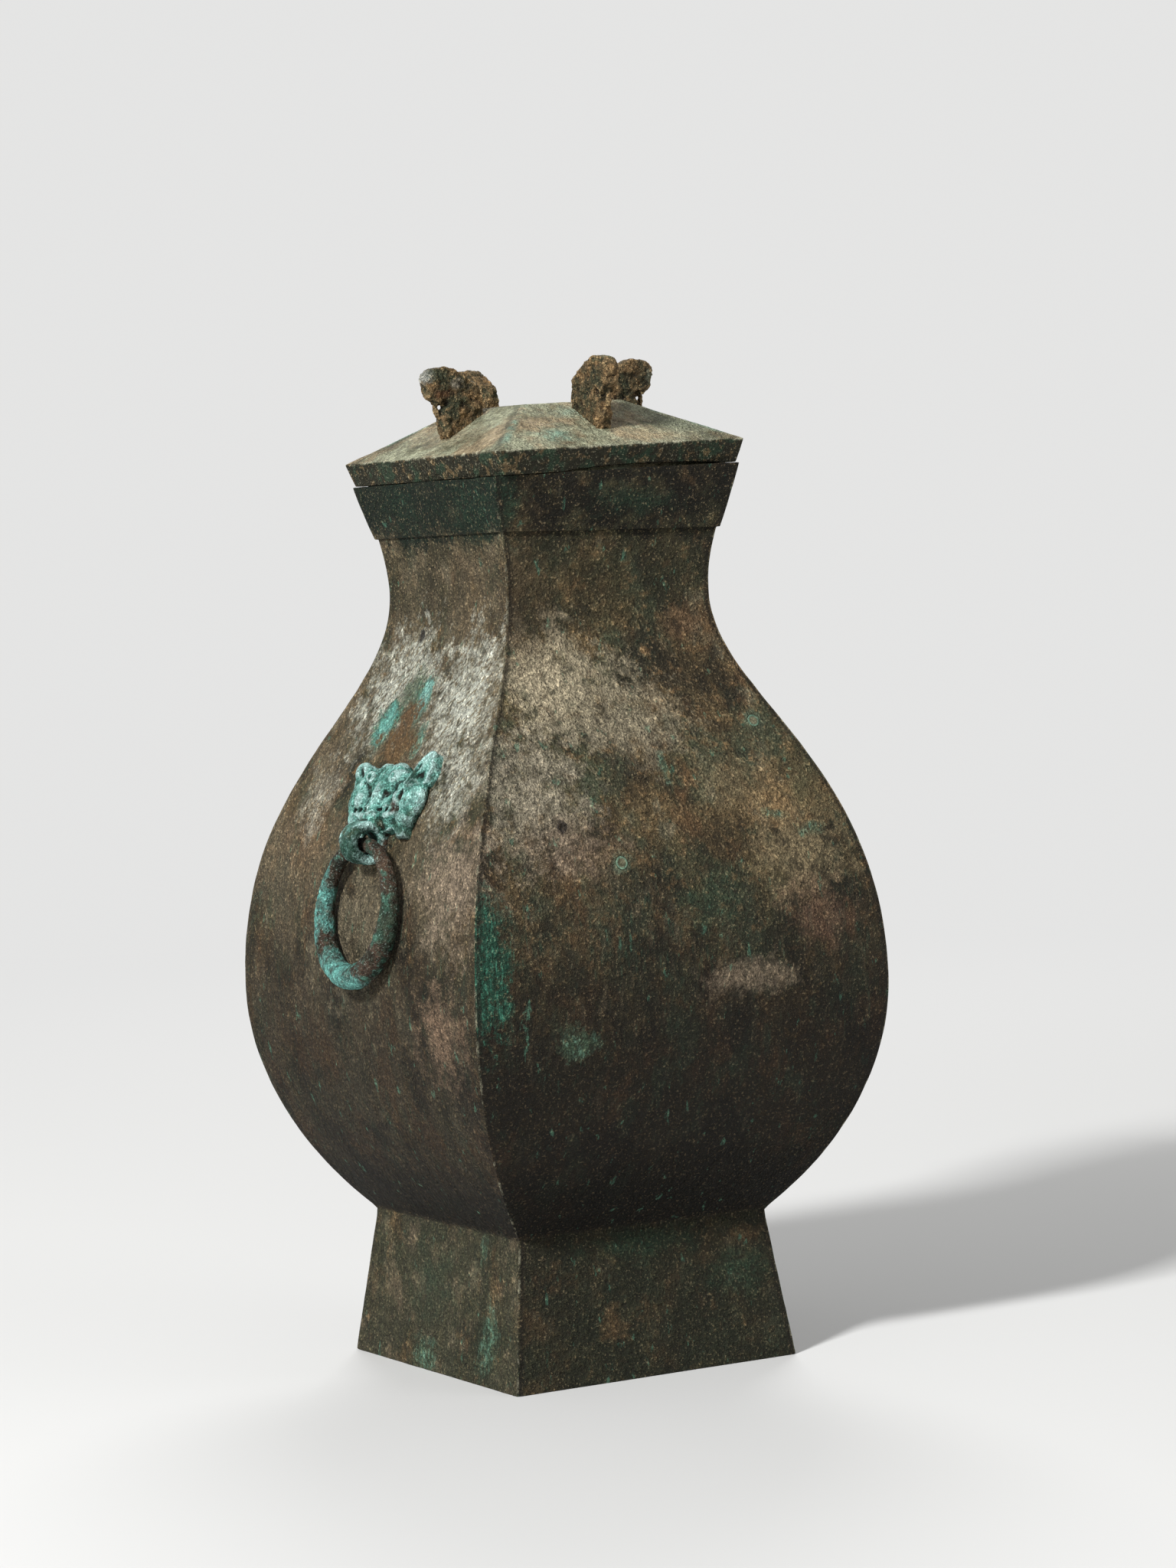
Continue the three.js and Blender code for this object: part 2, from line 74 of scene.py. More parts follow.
# %% Sizes of the real pieces
FOOT_HEIGHT, FOOT_TOP_HALF, FOOT_SPLAY = 66, 64.2, 9.1
BELLY_Z, BELLY_HALF, BELLY_CROWN = 172, 107, 2.4
WAIST_Z, NECK_HALF = 346.8, 52.6
SHOULDER_FULLNESS, NECK_FULLNESS = 0.55, 0.27
BAND_Z, FLARE_HALF, BAND_STEP = 373.6, 56, 1.2
RIM_Z, RIM_HALF = 400, 64
WALL, FLOOR = 2.6, 3
MOUTH_TILT = math.radians(2.1)
SEAT_HALF, EAVES_HALF, EAVES_Z = 62.3, 65.3, 10.5
ROOF_FLAT_HALF, ROOF_Z = 26.5, 31.5
LID_TURN = math.radians(2.6)
LID_SEAT_Z, SPIGOT_Z = 0.3, -11.7
ROOF_SLOPE = (ROOF_Z - EAVES_Z) / (EAVES_HALF - ROOF_FLAT_HALF)
FINIAL_OUT = 51
FINIAL_Z = EAVES_Z + (EAVES_HALF - FINIAL_OUT) * ROOF_SLOPE
MASK_PLACE, MASK_LEAN = Vector((-91.387, -13.5, 257)), math.radians(22.7)
LOOP_DROP, LOOP_STANDOFF, LOOP_HOLE, LOOP_THICKNESS, LOOP_WIDTH = 21.2, 7.4, 5.3, 4.4, 13
RING_PIVOT, RING_TILT = Vector((-106.395, -13.5, 240.298)), math.radians(9.27)
RING_RADIUS, RING_TOP_THICKNESS, RING_BOTTOM_THICKNESS = 29.6, 6.0, 11.2
RING_TOP_WEAR = 0.7
print("roof slope:", round(math.degrees(math.atan(ROOF_SLOPE)), 1), "degrees")

# %% [markdown]
# The camera comes before the modelling, so that every piece can be judged from where the photographer
# stood: a long lens 1.8 m away, turned 31 degrees round the vessel, level with its upper half and
# rolled a little. The place and the lens were worked out from the corners of foot, collar and rim. The
# lens is in millimetres, its place in metres and every turn in degrees.

# %% Camera
LENS, SENSOR_HEIGHT = 92.29, 36
ROUND_VESSEL, LENS_DISTANCE, LENS_HEIGHT = -31.09, 1.824, 0.3464
LOOK_ASIDE, LOOK_DOWN, ROLL = -0.48, 2.73, -1.91
camera_data = bpy.data.cameras.new("photographer")
camera = bpy.data.objects.new("photographer", camera_data)
bpy.context.scene.collection.objects.link(camera)
camera_data.sensor_fit = "VERTICAL"
camera_data.sensor_height = SENSOR_HEIGHT
camera_data.lens = LENS
camera.matrix_world = (
    Matrix.Rotation(math.radians(ROUND_VESSEL), 4, "Z")
    @ Matrix.Translation((0, -LENS_DISTANCE, LENS_HEIGHT))
    @ Matrix.Rotation(math.radians(LOOK_ASIDE), 4, "Z")
    @ Matrix.Rotation(math.radians(90 - LOOK_DOWN), 4, "X")
    @ Matrix.Rotation(math.radians(ROLL), 4, "Z")
)
bpy.context.scene.camera = camera
bpy.context.scene.view_settings.view_transform = "Standard"
print("camera at", [round(v, 3) for v in camera.matrix_world.translation])

# %% [markdown]
# Most steps start with nothing selected, add one primitive, shape it, and end by writing its place
# into its mesh. These helpers do those small jobs. A modifier is applied at once, so that the next
# edit works on the real points.

# %% Small helpers for modelling


def deselect_all():
    if bpy.context.object and bpy.context.object.mode != "OBJECT":
        bpy.ops.object.mode_set(mode="OBJECT")
    bpy.ops.object.select_all(action="DESELECT")


def pick(obj):
    deselect_all()
    obj.select_set(True)
    bpy.context.view_layer.objects.active = obj


def keep_place_in_mesh(obj):
    pick(obj)
    bpy.ops.object.transform_apply(location=True, rotation=True, scale=True)


def apply_modifier(obj, kind, **settings):
    modifier = obj.modifiers.new("step", kind)
    for name, value in settings.items():
        setattr(modifier, name, value)
    pick(obj)
    bpy.ops.object.modifier_apply(modifier=modifier.name)


def cut_away(obj, cutter):
    """Cuts one shape out of a piece, and throws the cutter away."""
    apply_modifier(obj, "BOOLEAN", operation="DIFFERENCE", object=cutter, solver="EXACT")
    bpy.data.objects.remove(cutter)


def join(parts, name):
    deselect_all()
    for part in parts:
        part.select_set(True)
    bpy.context.view_layer.objects.active = parts[0]
    bpy.ops.object.join()
    parts[0].name = name
    return parts[0]


def close_and_face_out(obj):
    pick(obj)
    bpy.ops.object.mode_set(mode="EDIT")
    bpy.ops.mesh.select_all(action="SELECT")
    bpy.ops.mesh.remove_doubles(threshold=0.01 * MM)
    bpy.ops.mesh.fill_holes(sides=0)
    bpy.ops.mesh.normals_make_consistent(inside=False)
    bpy.ops.object.mode_set(mode="OBJECT")


def points_of(obj):
    points = np.empty(len(obj.data.vertices) * 3)
    obj.data.vertices.foreach_get("co", points)
    return points.reshape(-1, 3)


def set_points(obj, points):
    obj.data.vertices.foreach_set("co", points.ravel())
    obj.data.update()


def roughen(obj, grain_mm, height_mm, depth):
    """Pushes the surface in and out by a cloud pattern, as a crust of corrosion does."""
    clouds = bpy.data.textures.new(f"crust {grain_mm} mm", "CLOUDS")
    clouds.noise_scale = grain_mm * MM
    clouds.noise_depth = depth
    apply_modifier(
        obj, "DISPLACE", texture=clouds, texture_coords="LOCAL", strength=height_mm * MM, mid_level=0.5,
    )


def note_hollows(obj, rounds):
    """Keeps on every point how deep it lies below what is round it, where 1 is a deep hollow."""
    points = points_of(obj)
    ends = np.empty(len(obj.data.edges) * 2, dtype=np.int32)
    obj.data.edges.foreach_get("vertices", ends)
    one, other = ends.reshape(-1, 2).T
    neighbours = np.bincount(ends, minlength=len(points))[:, None]
    smooth = points
    for _ in range(rounds):
        total = np.zeros_like(smooth)
        np.add.at(total, one, smooth[other])
        np.add.at(total, other, smooth[one])
        smooth = total / neighbours
    normals = np.empty(len(points) * 3)
    obj.data.vertices.foreach_get("normal", normals)
    depth = ((smooth - points) * normals.reshape(-1, 3)).sum(1)
    depth /= np.percentile(np.abs(depth), 92)
    obj.data.attributes.new("hollow", "FLOAT", "POINT").data.foreach_set("value", depth)


def finish_piece(obj, material, body, slot, *nodes, angle):
    """Shades the piece, gives it its material, ties it to its body and hides the solids it replaces. The
    slot is not used.
    """
    pick(obj)
    bpy.ops.object.shade_smooth_by_angle(angle=math.radians(angle))
    obj.data.materials.clear()
    obj.data.materials.append(material)
    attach(obj, body)
    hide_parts(*nodes)
    triangles = sum(len(face.vertices) - 2 for face in obj.data.polygons)
    print(obj.name, "-", triangles, "triangles, replaces", *nodes)


print("modelling helpers ready")

# %% [markdown]
# A patina is layers: bare dark bronze, brown and olive oxide over it, then earth, chalk and the green
# and turquoise salts of copper in patches. Each layer needs a mask that says where it lies. The masks
# are node groups, built once and used by every finish: a stain with a soft broken edge at a place,
# flecks of one size, and streaks drawn out in one direction.

# %% Helpers for node trees


def srgb(red, green, blue):
    """A colour as seen on screen, 0 to 255, turned into the linear values that nodes take."""
    def channel(value):
        value /= 255
        return value / 12.92 if value <= 0.04045 else ((value + 0.055) / 1.055) ** 2.4
    return (channel(red), channel(green), channel(blue), 1)


def add_node(tree, kind, inputs=None, **settings):
    made = tree.nodes.new(kind)
    for name, value in settings.items():
        setattr(made, name, value)
    for socket, value in (inputs or {}).items():
        if isinstance(value, bpy.types.NodeSocket):
            tree.links.new(value, made.inputs[socket])
        else:
            made.inputs[socket].default_value = value
    return made


def math_node(tree, operation, *values, clamp=False):
    made = add_node(tree, "ShaderNodeMath", dict(enumerate(values)), operation=operation, use_clamp=clamp)
    return made.outputs[0]


def noise(tree, point, size_mm, detail, roughness):
    made = add_node(
        tree, "ShaderNodeTexNoise",
        {"Vector": point, "Scale": 1 / (size_mm * MM), "Detail": detail, "Roughness": roughness},
    )
    return made.outputs["Fac"]


def ramp(tree, value, low, high):
    """0 below low, 1 above high, and smooth between."""
    made = add_node(
        tree, "ShaderNodeMapRange", {"Value": value, "From Min": low, "From Max": high},
        interpolation_type="SMOOTHSTEP",
    )
    return made.outputs["Result"]


def blend(tree, share, under, over, way="MIX"):
    """A share of one colour over another, laid on or multiplied."""
    made = tree.nodes.new("ShaderNodeMix")
    made.data_type = "RGBA"
    made.blend_type = way
    for socket, value in ((0, share), (6, under), (7, over)):
        if isinstance(value, bpy.types.NodeSocket):
            tree.links.new(value, made.inputs[socket])
        else:
            made.inputs[socket].default_value = value
    return made.outputs[2]


NOISE_LOW, NOISE_HIGH = 0.32, 0.68


def tint(tree, colour, low_grey, high_grey, value):
    """Darkens and lightens a colour by a noise: painted light and shade, as grit shows under a low light."""
    grey = add_node(
        tree, "ShaderNodeMapRange",
        {"Value": value, "From Min": NOISE_LOW, "From Max": NOISE_HIGH,
         "To Min": low_grey, "To Max": high_grey},
    ).outputs["Result"]
    return blend(tree, 1.0, colour, grey, way="MULTIPLY")


def colour_ramp(tree, value, stops):
    """A colour for each value, from (value, colour) pairs."""
    made = add_node(tree, "ShaderNodeValToRGB", {"Fac": value})
    elements = made.color_ramp.elements
    while len(elements) < len(stops):
        elements.new(0.5)
    for element, (place, colour) in zip(elements, stops):
        element.position = place
        element.color = srgb(*colour)
    return made.outputs["Color"]


def new_group(name, inputs, outputs):
    tree = bpy.data.node_groups.new(name, "ShaderNodeTree")
    for socket, (kind, value) in inputs.items():
        made = tree.interface.new_socket(socket, in_out="INPUT", socket_type=kind)
        if value is not None:
            made.default_value = value
    for socket in outputs:
        tree.interface.new_socket(socket, in_out="OUTPUT", socket_type="NodeSocketFloat")
    return tree, tree.nodes.new("NodeGroupInput"), tree.nodes.new("NodeGroupOutput")


print("node helpers ready")

# %% [markdown]
# A stain could be painted on an image, but this object carries no images, so a stain is a ball in
# space instead. Its centre and radii are in metres, its edge is broken by noise, and every point of
# the surface asks how far inside the ball it is.

# %% Group: stain
FLOAT, VECTOR = "NodeSocketFloat", "NodeSocketVector"
stain_group, given, result = new_group(
    "Stain",
    {"Point": (VECTOR, None), "Centre": (VECTOR, None), "Radii": (VECTOR, None),
     "Fray": (FLOAT, 0), "Softness": (FLOAT, 0.5), "Strength": (FLOAT, 1)},
    ["Mask"],
)
offset = add_node(
    stain_group, "ShaderNodeVectorMath", {0: given.outputs["Point"], 1: given.outputs["Centre"]},
    operation="SUBTRACT",
)
scaled = add_node(
    stain_group, "ShaderNodeVectorMath", {0: offset.outputs[0], 1: given.outputs["Radii"]},
    operation="DIVIDE",
)
distance = add_node(stain_group, "ShaderNodeVectorMath", {0: scaled.outputs[0]}, operation="LENGTH")
inside = math_node(stain_group, "SUBTRACT", 1.0, distance.outputs["Value"])
frayed = math_node(stain_group, "ADD", inside, given.outputs["Fray"])
soft = math_node(stain_group, "DIVIDE", frayed, given.outputs["Softness"], clamp=True)
stain_group.links.new(
    math_node(stain_group, "MULTIPLY", soft, given.outputs["Strength"]), result.inputs["Mask"]
)
print("group:", stain_group.name)

# %% [markdown]
# Streaks are a noise in a space that is squeezed across them: the chalk on the handle's face was
# wiped on in short slanting strokes. Only the upper values are kept, which leaves crisp strokes.

# %% Group: streaks
streak_group, given, result = new_group(
    "Streaks",
    {"Point": (VECTOR, None), "Turn": (VECTOR, None), "Grain": (VECTOR, None), "Above": (FLOAT, 0.5),
     "Softness": (FLOAT, 0.05)},
    ["Mask"],
)
turned = add_node(
    streak_group, "ShaderNodeVectorRotate",
    {"Vector": given.outputs["Point"], "Rotation": given.outputs["Turn"]}, rotation_type="EULER_XYZ",
)
squeezed = add_node(
    streak_group, "ShaderNodeVectorMath", {0: turned.outputs[0], 1: given.outputs["Grain"]},
    operation="DIVIDE",
)
strokes = add_node(
    streak_group, "ShaderNodeTexNoise",
    {"Vector": squeezed.outputs[0], "Scale": 1.0, "Detail": 5.0, "Roughness": 0.62},
).outputs["Fac"]
kept = add_node(
    streak_group, "ShaderNodeMapRange",
    {"Value": strokes,
     "From Min": math_node(streak_group, "SUBTRACT", given.outputs["Above"], given.outputs["Softness"]),
     "From Max": math_node(streak_group, "ADD", given.outputs["Above"], given.outputs["Softness"])},
    interpolation_type="SMOOTHSTEP",
)
streak_group.links.new(kept.outputs["Result"], result.inputs["Mask"])
print("group:", streak_group.name)

# %% [markdown]
# Buried bronze is gritty: grains of sand sit fast in the crust, with pits between them. Bump does
# this, because the grains are about a millimetre and a mesh that fine would be far too heavy. Two
# sizes are enough, grains and the lumps that they gather in. The height comes out in millimetres, and
# both noises come out too, so that a pit can be dark and a grain light.

# %% Group: grit
grit_group, given, result = new_group(
    "Grit",
    {"Point": (VECTOR, None), "Grain": (FLOAT, 0.8), "Grit": (FLOAT, 0.3), "Lump": (FLOAT, 0.6)},
    ["Height", "Fine", "Coarse"],
)
grain_metres = math_node(grit_group, "MULTIPLY", given.outputs["Grain"], MM)
grain_scale = math_node(grit_group, "DIVIDE", 1.0, grain_metres)
fine = add_node(
    grit_group, "ShaderNodeTexNoise",
    {"Vector": given.outputs["Point"], "Scale": grain_scale, "Detail": 2.0, "Roughness": 0.7},
).outputs["Fac"]
coarse = add_node(
    grit_group, "ShaderNodeTexNoise",
    {"Vector": given.outputs["Point"], "Scale": math_node(grit_group, "MULTIPLY", grain_scale, 0.3),
     "Detail": 3.0, "Roughness": 0.62},
).outputs["Fac"]
grains = math_node(grit_group, "MULTIPLY", ramp(grit_group, fine, 0.4, 0.62), given.outputs["Grit"])
lumps = math_node(grit_group, "MULTIPLY", ramp(grit_group, coarse, 0.4, 0.64), given.outputs["Lump"])
grit_group.links.new(math_node(grit_group, "ADD", grains, lumps), result.inputs["Height"])
grit_group.links.new(fine, result.inputs["Fine"])
grit_group.links.new(coarse, result.inputs["Coarse"])
print("group:", grit_group.name)

# %% [markdown]
# Each finish starts from the same bench: a Principled shader, the object's own coordinates, one wobble
# that frays the edge of every stain, and the grit. A finish then lays its colours on one after
# another, from the metal outwards, and ends with the grit: painted light and shade over its grains
# and lumps, pits darkened partly with painted shade, and light grains.


# %% A bench for building finishes
FRAY_SIZE, FRAY_REACH = 10, 3.4
LEAST_SPECKLE, SPECKLE_FADE = 0.6, (0.36, 0.56)
LUMP_SHADE = (0.68, 1.28)
FINE_PITS, FINE_PIT_STRENGTH = (0.42, 0.32), 0.75
COARSE_PITS, COARSE_PIT_STRENGTH = (0.38, 0.3), 0.3
GRAIN_TIPS = (0.58, 0.7)
SMOOTHEST, ROUGHEST = 0.7, 0.97


class Finish:
    """One material under construction: layers of colour, then grit, roughness and bump."""

    def __init__(self, name, grain_mm, grit_mm, lump_mm):
        self.material = bpy.data.materials.new(name)
        self.material.use_nodes = True
        self.tree = self.material.node_tree
        self.shader = self.tree.nodes["Principled BSDF"]
        self.point = add_node(self.tree, "ShaderNodeTexCoord").outputs["Object"]
        wobble = math_node(self.tree, "SUBTRACT", noise(self.tree, self.point, FRAY_SIZE, 9, 0.74), 0.5)
        self.fray = math_node(self.tree, "MULTIPLY", wobble, FRAY_REACH)
        self.grit = self.group(grit_group, Point=self.point, Grain=grain_mm, Grit=grit_mm, Lump=lump_mm)
        lumps = ramp(self.tree, self.grit["Coarse"], *SPECKLE_FADE)
        self.speckle = math_node(self.tree, "ADD", LEAST_SPECKLE, lumps, clamp=True)
        self.colour = None

    def group(self, tree, **inputs):
        """One of the node groups, placed in this finish with its own values."""
        return add_node(self.tree, "ShaderNodeGroup", inputs, node_tree=tree).outputs

    def cloud(self, size_mm, stretch=1.0, detail=8, roughness=0.64):
        """A noise with clouds of this size, drawn out up and down by stretch."""
        squeezed = add_node(
            self.tree, "ShaderNodeVectorMath", {0: self.point, 1: (1, 1, 1 / stretch)},
            operation="MULTIPLY",
        )
        return noise(self.tree, squeezed.outputs[0], size_mm, detail, roughness)

    def times(self, *masks):
        """Where all the masks lie at once."""
        product = masks[0]
        for mask in masks[1:]:
            product = math_node(self.tree, "MULTIPLY", product, mask)
        return product

    def attribute(self, name):
        return add_node(self.tree, "ShaderNodeAttribute", attribute_name=name).outputs["Fac"]

    def layer(self, mask, colour):
        """A colour, 0 to 255 or from another node, over all that was laid before it."""
        over = colour if isinstance(colour, bpy.types.NodeSocket) else srgb(*colour)
        self.colour = blend(self.tree, mask, self.colour, over)

    def patches(self, size_mm, above, colour, strength, stretch=1.0, softness=0.06, within=1.0):
        """Patches of a colour wherever a cloud is above a value, all over or within a mask."""
        found = ramp(self.tree, self.cloud(size_mm, stretch), above - softness, above + softness)
        self.layer(self.times(within, found, strength), colour)

    def streaks(self, width_mm, length_mm, above, turn=(0, 0, 0), softness=0.04):
        """A mask of strokes, upright unless they are turned, in degrees."""
        return self.group(
            streak_group, Point=self.point, Turn=[math.radians(v) for v in turn],
            Grain=(width_mm * MM, width_mm * MM, length_mm * MM), Above=above, Softness=softness,
        )["Mask"]

    def stain(self, centre_mm, radii_mm, softness, strength=1.0):
        """A mask with a frayed edge round a place, thinner between the lumps of the grit."""
        mask = self.group(
            stain_group, Point=self.point, Centre=[v * MM for v in centre_mm],
            Radii=[v * MM for v in radii_mm], Fray=self.fray, Softness=softness, Strength=strength,
        )["Mask"]
        return self.times(mask, self.speckle)

    def stains(self, rows, softness, within=1.0):
        """Lays stains one after another, from rows of centre, radii, colour and strength."""
        for centre, radii, colour, strength in rows:
            self.layer(self.times(within, self.stain(centre, radii, softness, strength)), colour)

    def done(self, pit, grain, shade, grains=0.35):
        """Grit last: its painted light and shade, pits darkened partly with painted shade, light grains,
        roughness and bump.
        """
        tree = self.tree
        # Painted light and shade of the grains and lumps, then pits darkened, partly as painted shade.
        self.colour = tint(tree, self.colour, *LUMP_SHADE, self.grit["Coarse"])
        self.colour = tint(tree, self.colour, *shade, self.grit["Fine"])
        self.layer(self.times(ramp(tree, self.grit["Fine"], *FINE_PITS), FINE_PIT_STRENGTH), pit)
        self.layer(self.times(ramp(tree, self.grit["Coarse"], *COARSE_PITS), COARSE_PIT_STRENGTH), pit)
        self.layer(self.times(ramp(tree, self.grit["Fine"], *GRAIN_TIPS), grains), grain)
        bump = add_node(
            tree, "ShaderNodeBump", {"Height": self.grit["Height"], "Distance": MM, "Strength": 1.0},
        )
        rough = add_node(
            tree, "ShaderNodeMapRange",
            {"Value": self.grit["Coarse"], "To Min": SMOOTHEST, "To Max": ROUGHEST},
        )
        tree.links.new(self.colour, self.shader.inputs["Base Color"])
        tree.links.new(bump.outputs["Normal"], self.shader.inputs["Normal"])
        tree.links.new(rough.outputs["Result"], self.shader.inputs["Roughness"])
        self.shader.inputs["Metallic"].default_value = 0.0
        self.shader.inputs["Specular IOR Level"].default_value = 0.2
        print("finish:", self.material.name, "-", len(tree.nodes), "nodes")
        return self.material


print("bench ready")

# %% [markdown]
# The body's patina, from the metal out. Two rich clouds of oxide lie over each other, one olive to
# umber and one earth to grey, both drawn out downwards as water drew them. Over these come green,
# dark and rusty blotches, from two fingers' breadth down to the size of a lentil.

# %% Finish of the body: the oxides
bronze = Finish("buried bronze", grain_mm=1.2, grit_mm=1.3, lump_mm=1.9)
tree = bronze.tree
oxide = colour_ramp(tree, bronze.cloud(24, stretch=1.7), [
    (0.32, (34, 34, 25)), (0.42, (58, 58, 42)), (0.5, (82, 82, 60)), (0.58, (104, 94, 66)),
    (0.7, (130, 116, 84)),
])
earth = colour_ramp(tree, bronze.cloud(15, stretch=1.5), [
    (0.32, (52, 44, 32)), (0.44, (92, 78, 54)), (0.54, (120, 102, 72)), (0.62, (128, 120, 96)),
    (0.72, (164, 148, 118)),
])
bronze.colour = blend(tree, ramp(tree, bronze.cloud(46, 1.3, 6, 0.55), 0.45, 0.55), oxide, earth)
bronze.patches(30, 0.55, (78, 88, 68), strength=0.75, stretch=1.4)
bronze.patches(36, 0.57, (44, 41, 31), strength=0.8, stretch=1.3)
bronze.patches(19, 0.6, (122, 90, 62), strength=0.55, stretch=2.2)
bronze.patches(8, 0.6, (42, 40, 32), strength=0.5, stretch=2)
bronze.patches(7, 0.6, (140, 112, 78), strength=0.6)
bronze.patches(4, 0.64, (158, 124, 84), strength=0.5)
print("body: oxides laid")

# %% [markdown]
# The patina also changes from face to face and with the height. Masks divide the two handle faces from
# the two plain ones, at the corner where one side's distance passes the other's, and then, by height
# in metres, the foot, the low belly, the neck and the collar. The low belly darkens towards the foot,
# more on the plain faces, partly with dark patina and partly with painted shade. The height wavers a
# little, so that no zone ends in a straight line. Long runs that water drew lie on the belly.

# %% Finish of the body: faces and heights
place = add_node(tree, "ShaderNodeSeparateXYZ", {"Vector": bronze.point}).outputs
wide_x = math_node(tree, "ABSOLUTE", place["X"])
wide_y = math_node(tree, "ABSOLUTE", place["Y"])
past_corner = math_node(tree, "SUBTRACT", wide_y, wide_x)
plain_face = ramp(tree, past_corner, -0.0003, 0.0003)
handle_face = math_node(tree, "SUBTRACT", 1.0, plain_face)
bronze.patches(26, 0.48, (126, 114, 92), 0.65, stretch=1.6, softness=0.08, within=handle_face)
height = math_node(tree, "ADD", place["Z"], math_node(tree, "MULTIPLY", bronze.fray, 0.02))
low_belly = bronze.times(ramp(tree, height, 0.255, 0.14), ramp(tree, place["Z"], 0.064, 0.07))
# Painted shade, partly dark patina too: the low belly darkens towards the foot, more on the plain faces.
darker_front = math_node(tree, "ADD", 0.76, math_node(tree, "MULTIPLY", plain_face, 0.18))
bronze.layer(bronze.times(low_belly, darker_front), (30, 25, 16))
bronze.patches(22, 0.57, (70, 52, 36), 0.55, stretch=1.8, softness=0.05, within=low_belly)
bronze.patches(17, 0.58, (46, 56, 42), 0.5, stretch=2.2, softness=0.04, within=low_belly)
bronze.patches(28, 0.55, (18, 15, 10), 0.6, stretch=1.2, softness=0.05, within=low_belly)
neck = ramp(tree, height, 0.318, 0.35)
bronze.patches(16, 0.45, (56, 55, 38), 0.72, softness=0.09, within=neck)
foot = ramp(tree, place["Z"], 0.068, 0.065)
bronze.patches(13, 0.44, (56, 60, 43), 0.8, softness=0.1, within=foot)
bronze.layer(bronze.times(foot, plain_face, 0.6), (30, 32, 23))
collar = ramp(tree, height, 0.368, 0.376)
bronze.patches(11, 0.43, (25, 24, 16), 0.94, softness=0.11, within=collar)
above_foot = math_node(tree, "SUBTRACT", 1.0, foot)
less_low = math_node(tree, "SUBTRACT", 1.0, math_node(tree, "MULTIPLY", low_belly, 0.75))
belly = bronze.times(ramp(tree, height, 0.25, 0.215), above_foot, less_low)
WATER_RUNS = [
    (6, 34, 0.57, (40, 47, 35), 0.6), (3.5, 20, 0.6, (122, 108, 86), 0.5),
    (2.4, 13, 0.62, (54, 84, 66), 0.75),
]
for width, length, above, colour, strength in WATER_RUNS:
    drawn = bronze.streaks(width, length, above, softness=0.06)
    bronze.layer(bronze.times(belly, drawn, ramp(tree, bronze.cloud(20), 0.44, 0.54), strength), colour)
print("body: zones and", len(WATER_RUNS), "kinds of run laid")

# %% [markdown]
# Then what the ground left in certain places, each at the spot where it really lies: pale sandy earth
# over the shoulders, rust-coloured earth near the right edge, emerald salt beside the front corner and
# on the collar, and turquoise runs on the foot. The belly darkens downwards, partly with dark patina
# and partly with painted shade. The faces that the photograph doesn't show get the same kinds of stain
# in other places. Each row gives a stain's centre and radii in millimetres, its colour as seen on
# screen, and its strength.

# %% Finish of the body: earth and salts
SOFT_STAINS = [
    ((-37, -66, 306), (38, 28, 34), (198, 184, 154), 0.95),
    ((-6, -76, 290), (36, 26, 26), (164, 153, 128), 0.85),
    ((-64, -88, 262), (32, 26, 42), (172, 162, 140), 0.9),
    ((-52, -96, 236), (30, 16, 18), (142, 122, 102), 0.7),
    ((-100, -80, 225), (18, 30, 38), (166, 148, 126), 0.85),
    ((-108, -76, 160), (14, 22, 26), (140, 116, 94), 0.75),
    ((-96, 52, 244), (18, 24, 28), (136, 112, 84), 0.75),
    ((-102, 0, 205), (16, 50, 44), (130, 120, 98), 0.75),
    ((62, -92, 252), (34, 18, 22), (158, 130, 92), 0.9),
    ((36, -90, 262), (20, 16, 16), (128, 118, 90), 0.7),
    ((64, -100, 226), (30, 14, 26), (152, 136, 104), 0.85),
    ((37, -56, 333), (14, 12, 13), (126, 100, 74), 0.7),
    ((32, -109, 177), (28, 10, 10), (140, 124, 104), 0.7),
    ((70, -106, 203), (24, 10, 20), (112, 84, 68), 0.6),
    ((-20, -70, 24), (9, 8, 9), (104, 82, 56), 0.7),
    ((52, -67, 55), (14, 8, 6), (100, 78, 54), 0.65),
    ((-50, -57, 350), (22, 16, 40), (110, 92, 68), 0.6),
    ((-52, -24, 345), (14, 26, 34), (118, 104, 82), 0.6),
    ((30, 88, 262), (50, 22, 34), (138, 124, 100), 0.7),
    ((-60, 104, 190), (34, 14, 26), (120, 94, 70), 0.6),
    ((90, 10, 290), (30, 50, 34), (150, 142, 122), 0.7),
    ((104, 60, 200), (16, 26, 34), (130, 104, 78), 0.65),
]
bronze.stains(SOFT_STAINS, 0.75)
# The first two dark rows are broad bands low on the belly over the foot, front and back: partly dark patina,
# partly painted shade. The rest are dark stains.
DARK_STAINS_AND_SHADE = [
    ((0, -60, 92), (170, 90, 34), 0.5), ((0, 60, 92), (170, 90, 34), 0.5),
    ((-16, -86, 266), (15, 15, 20), 0.9), ((26, -100, 236), (22, 12, 12), 0.55),
    ((-28, -104, 222), (18, 12, 13), 0.5), ((34, -62, 311), (20, 16, 16), 0.45),
    ((-48, -53, 338), (16, 12, 20), 0.5), ((-53, 14, 346), (10, 16, 26), 0.55),
    ((-99, 40, 119), (22, 30, 26), 0.5), ((11, -108, 149), (40, 12, 20), 0.4),
]
for centre, radii, strength in DARK_STAINS_AND_SHADE:
    bronze.layer(bronze.stain(centre, radii, 1.3, strength), (38, 34, 26))
print("body:", len(SOFT_STAINS) + len(DARK_STAINS_AND_SHADE), "soft stains")

# %% [markdown]
# Copper corrodes green in two ways: a thin dull green that spreads wide, and thick turquoise that
# grows in spots and runs. So the greens are soft stains, and each turquoise spot is laid twice, once
# as a dull halo and once as bright short runs in it.

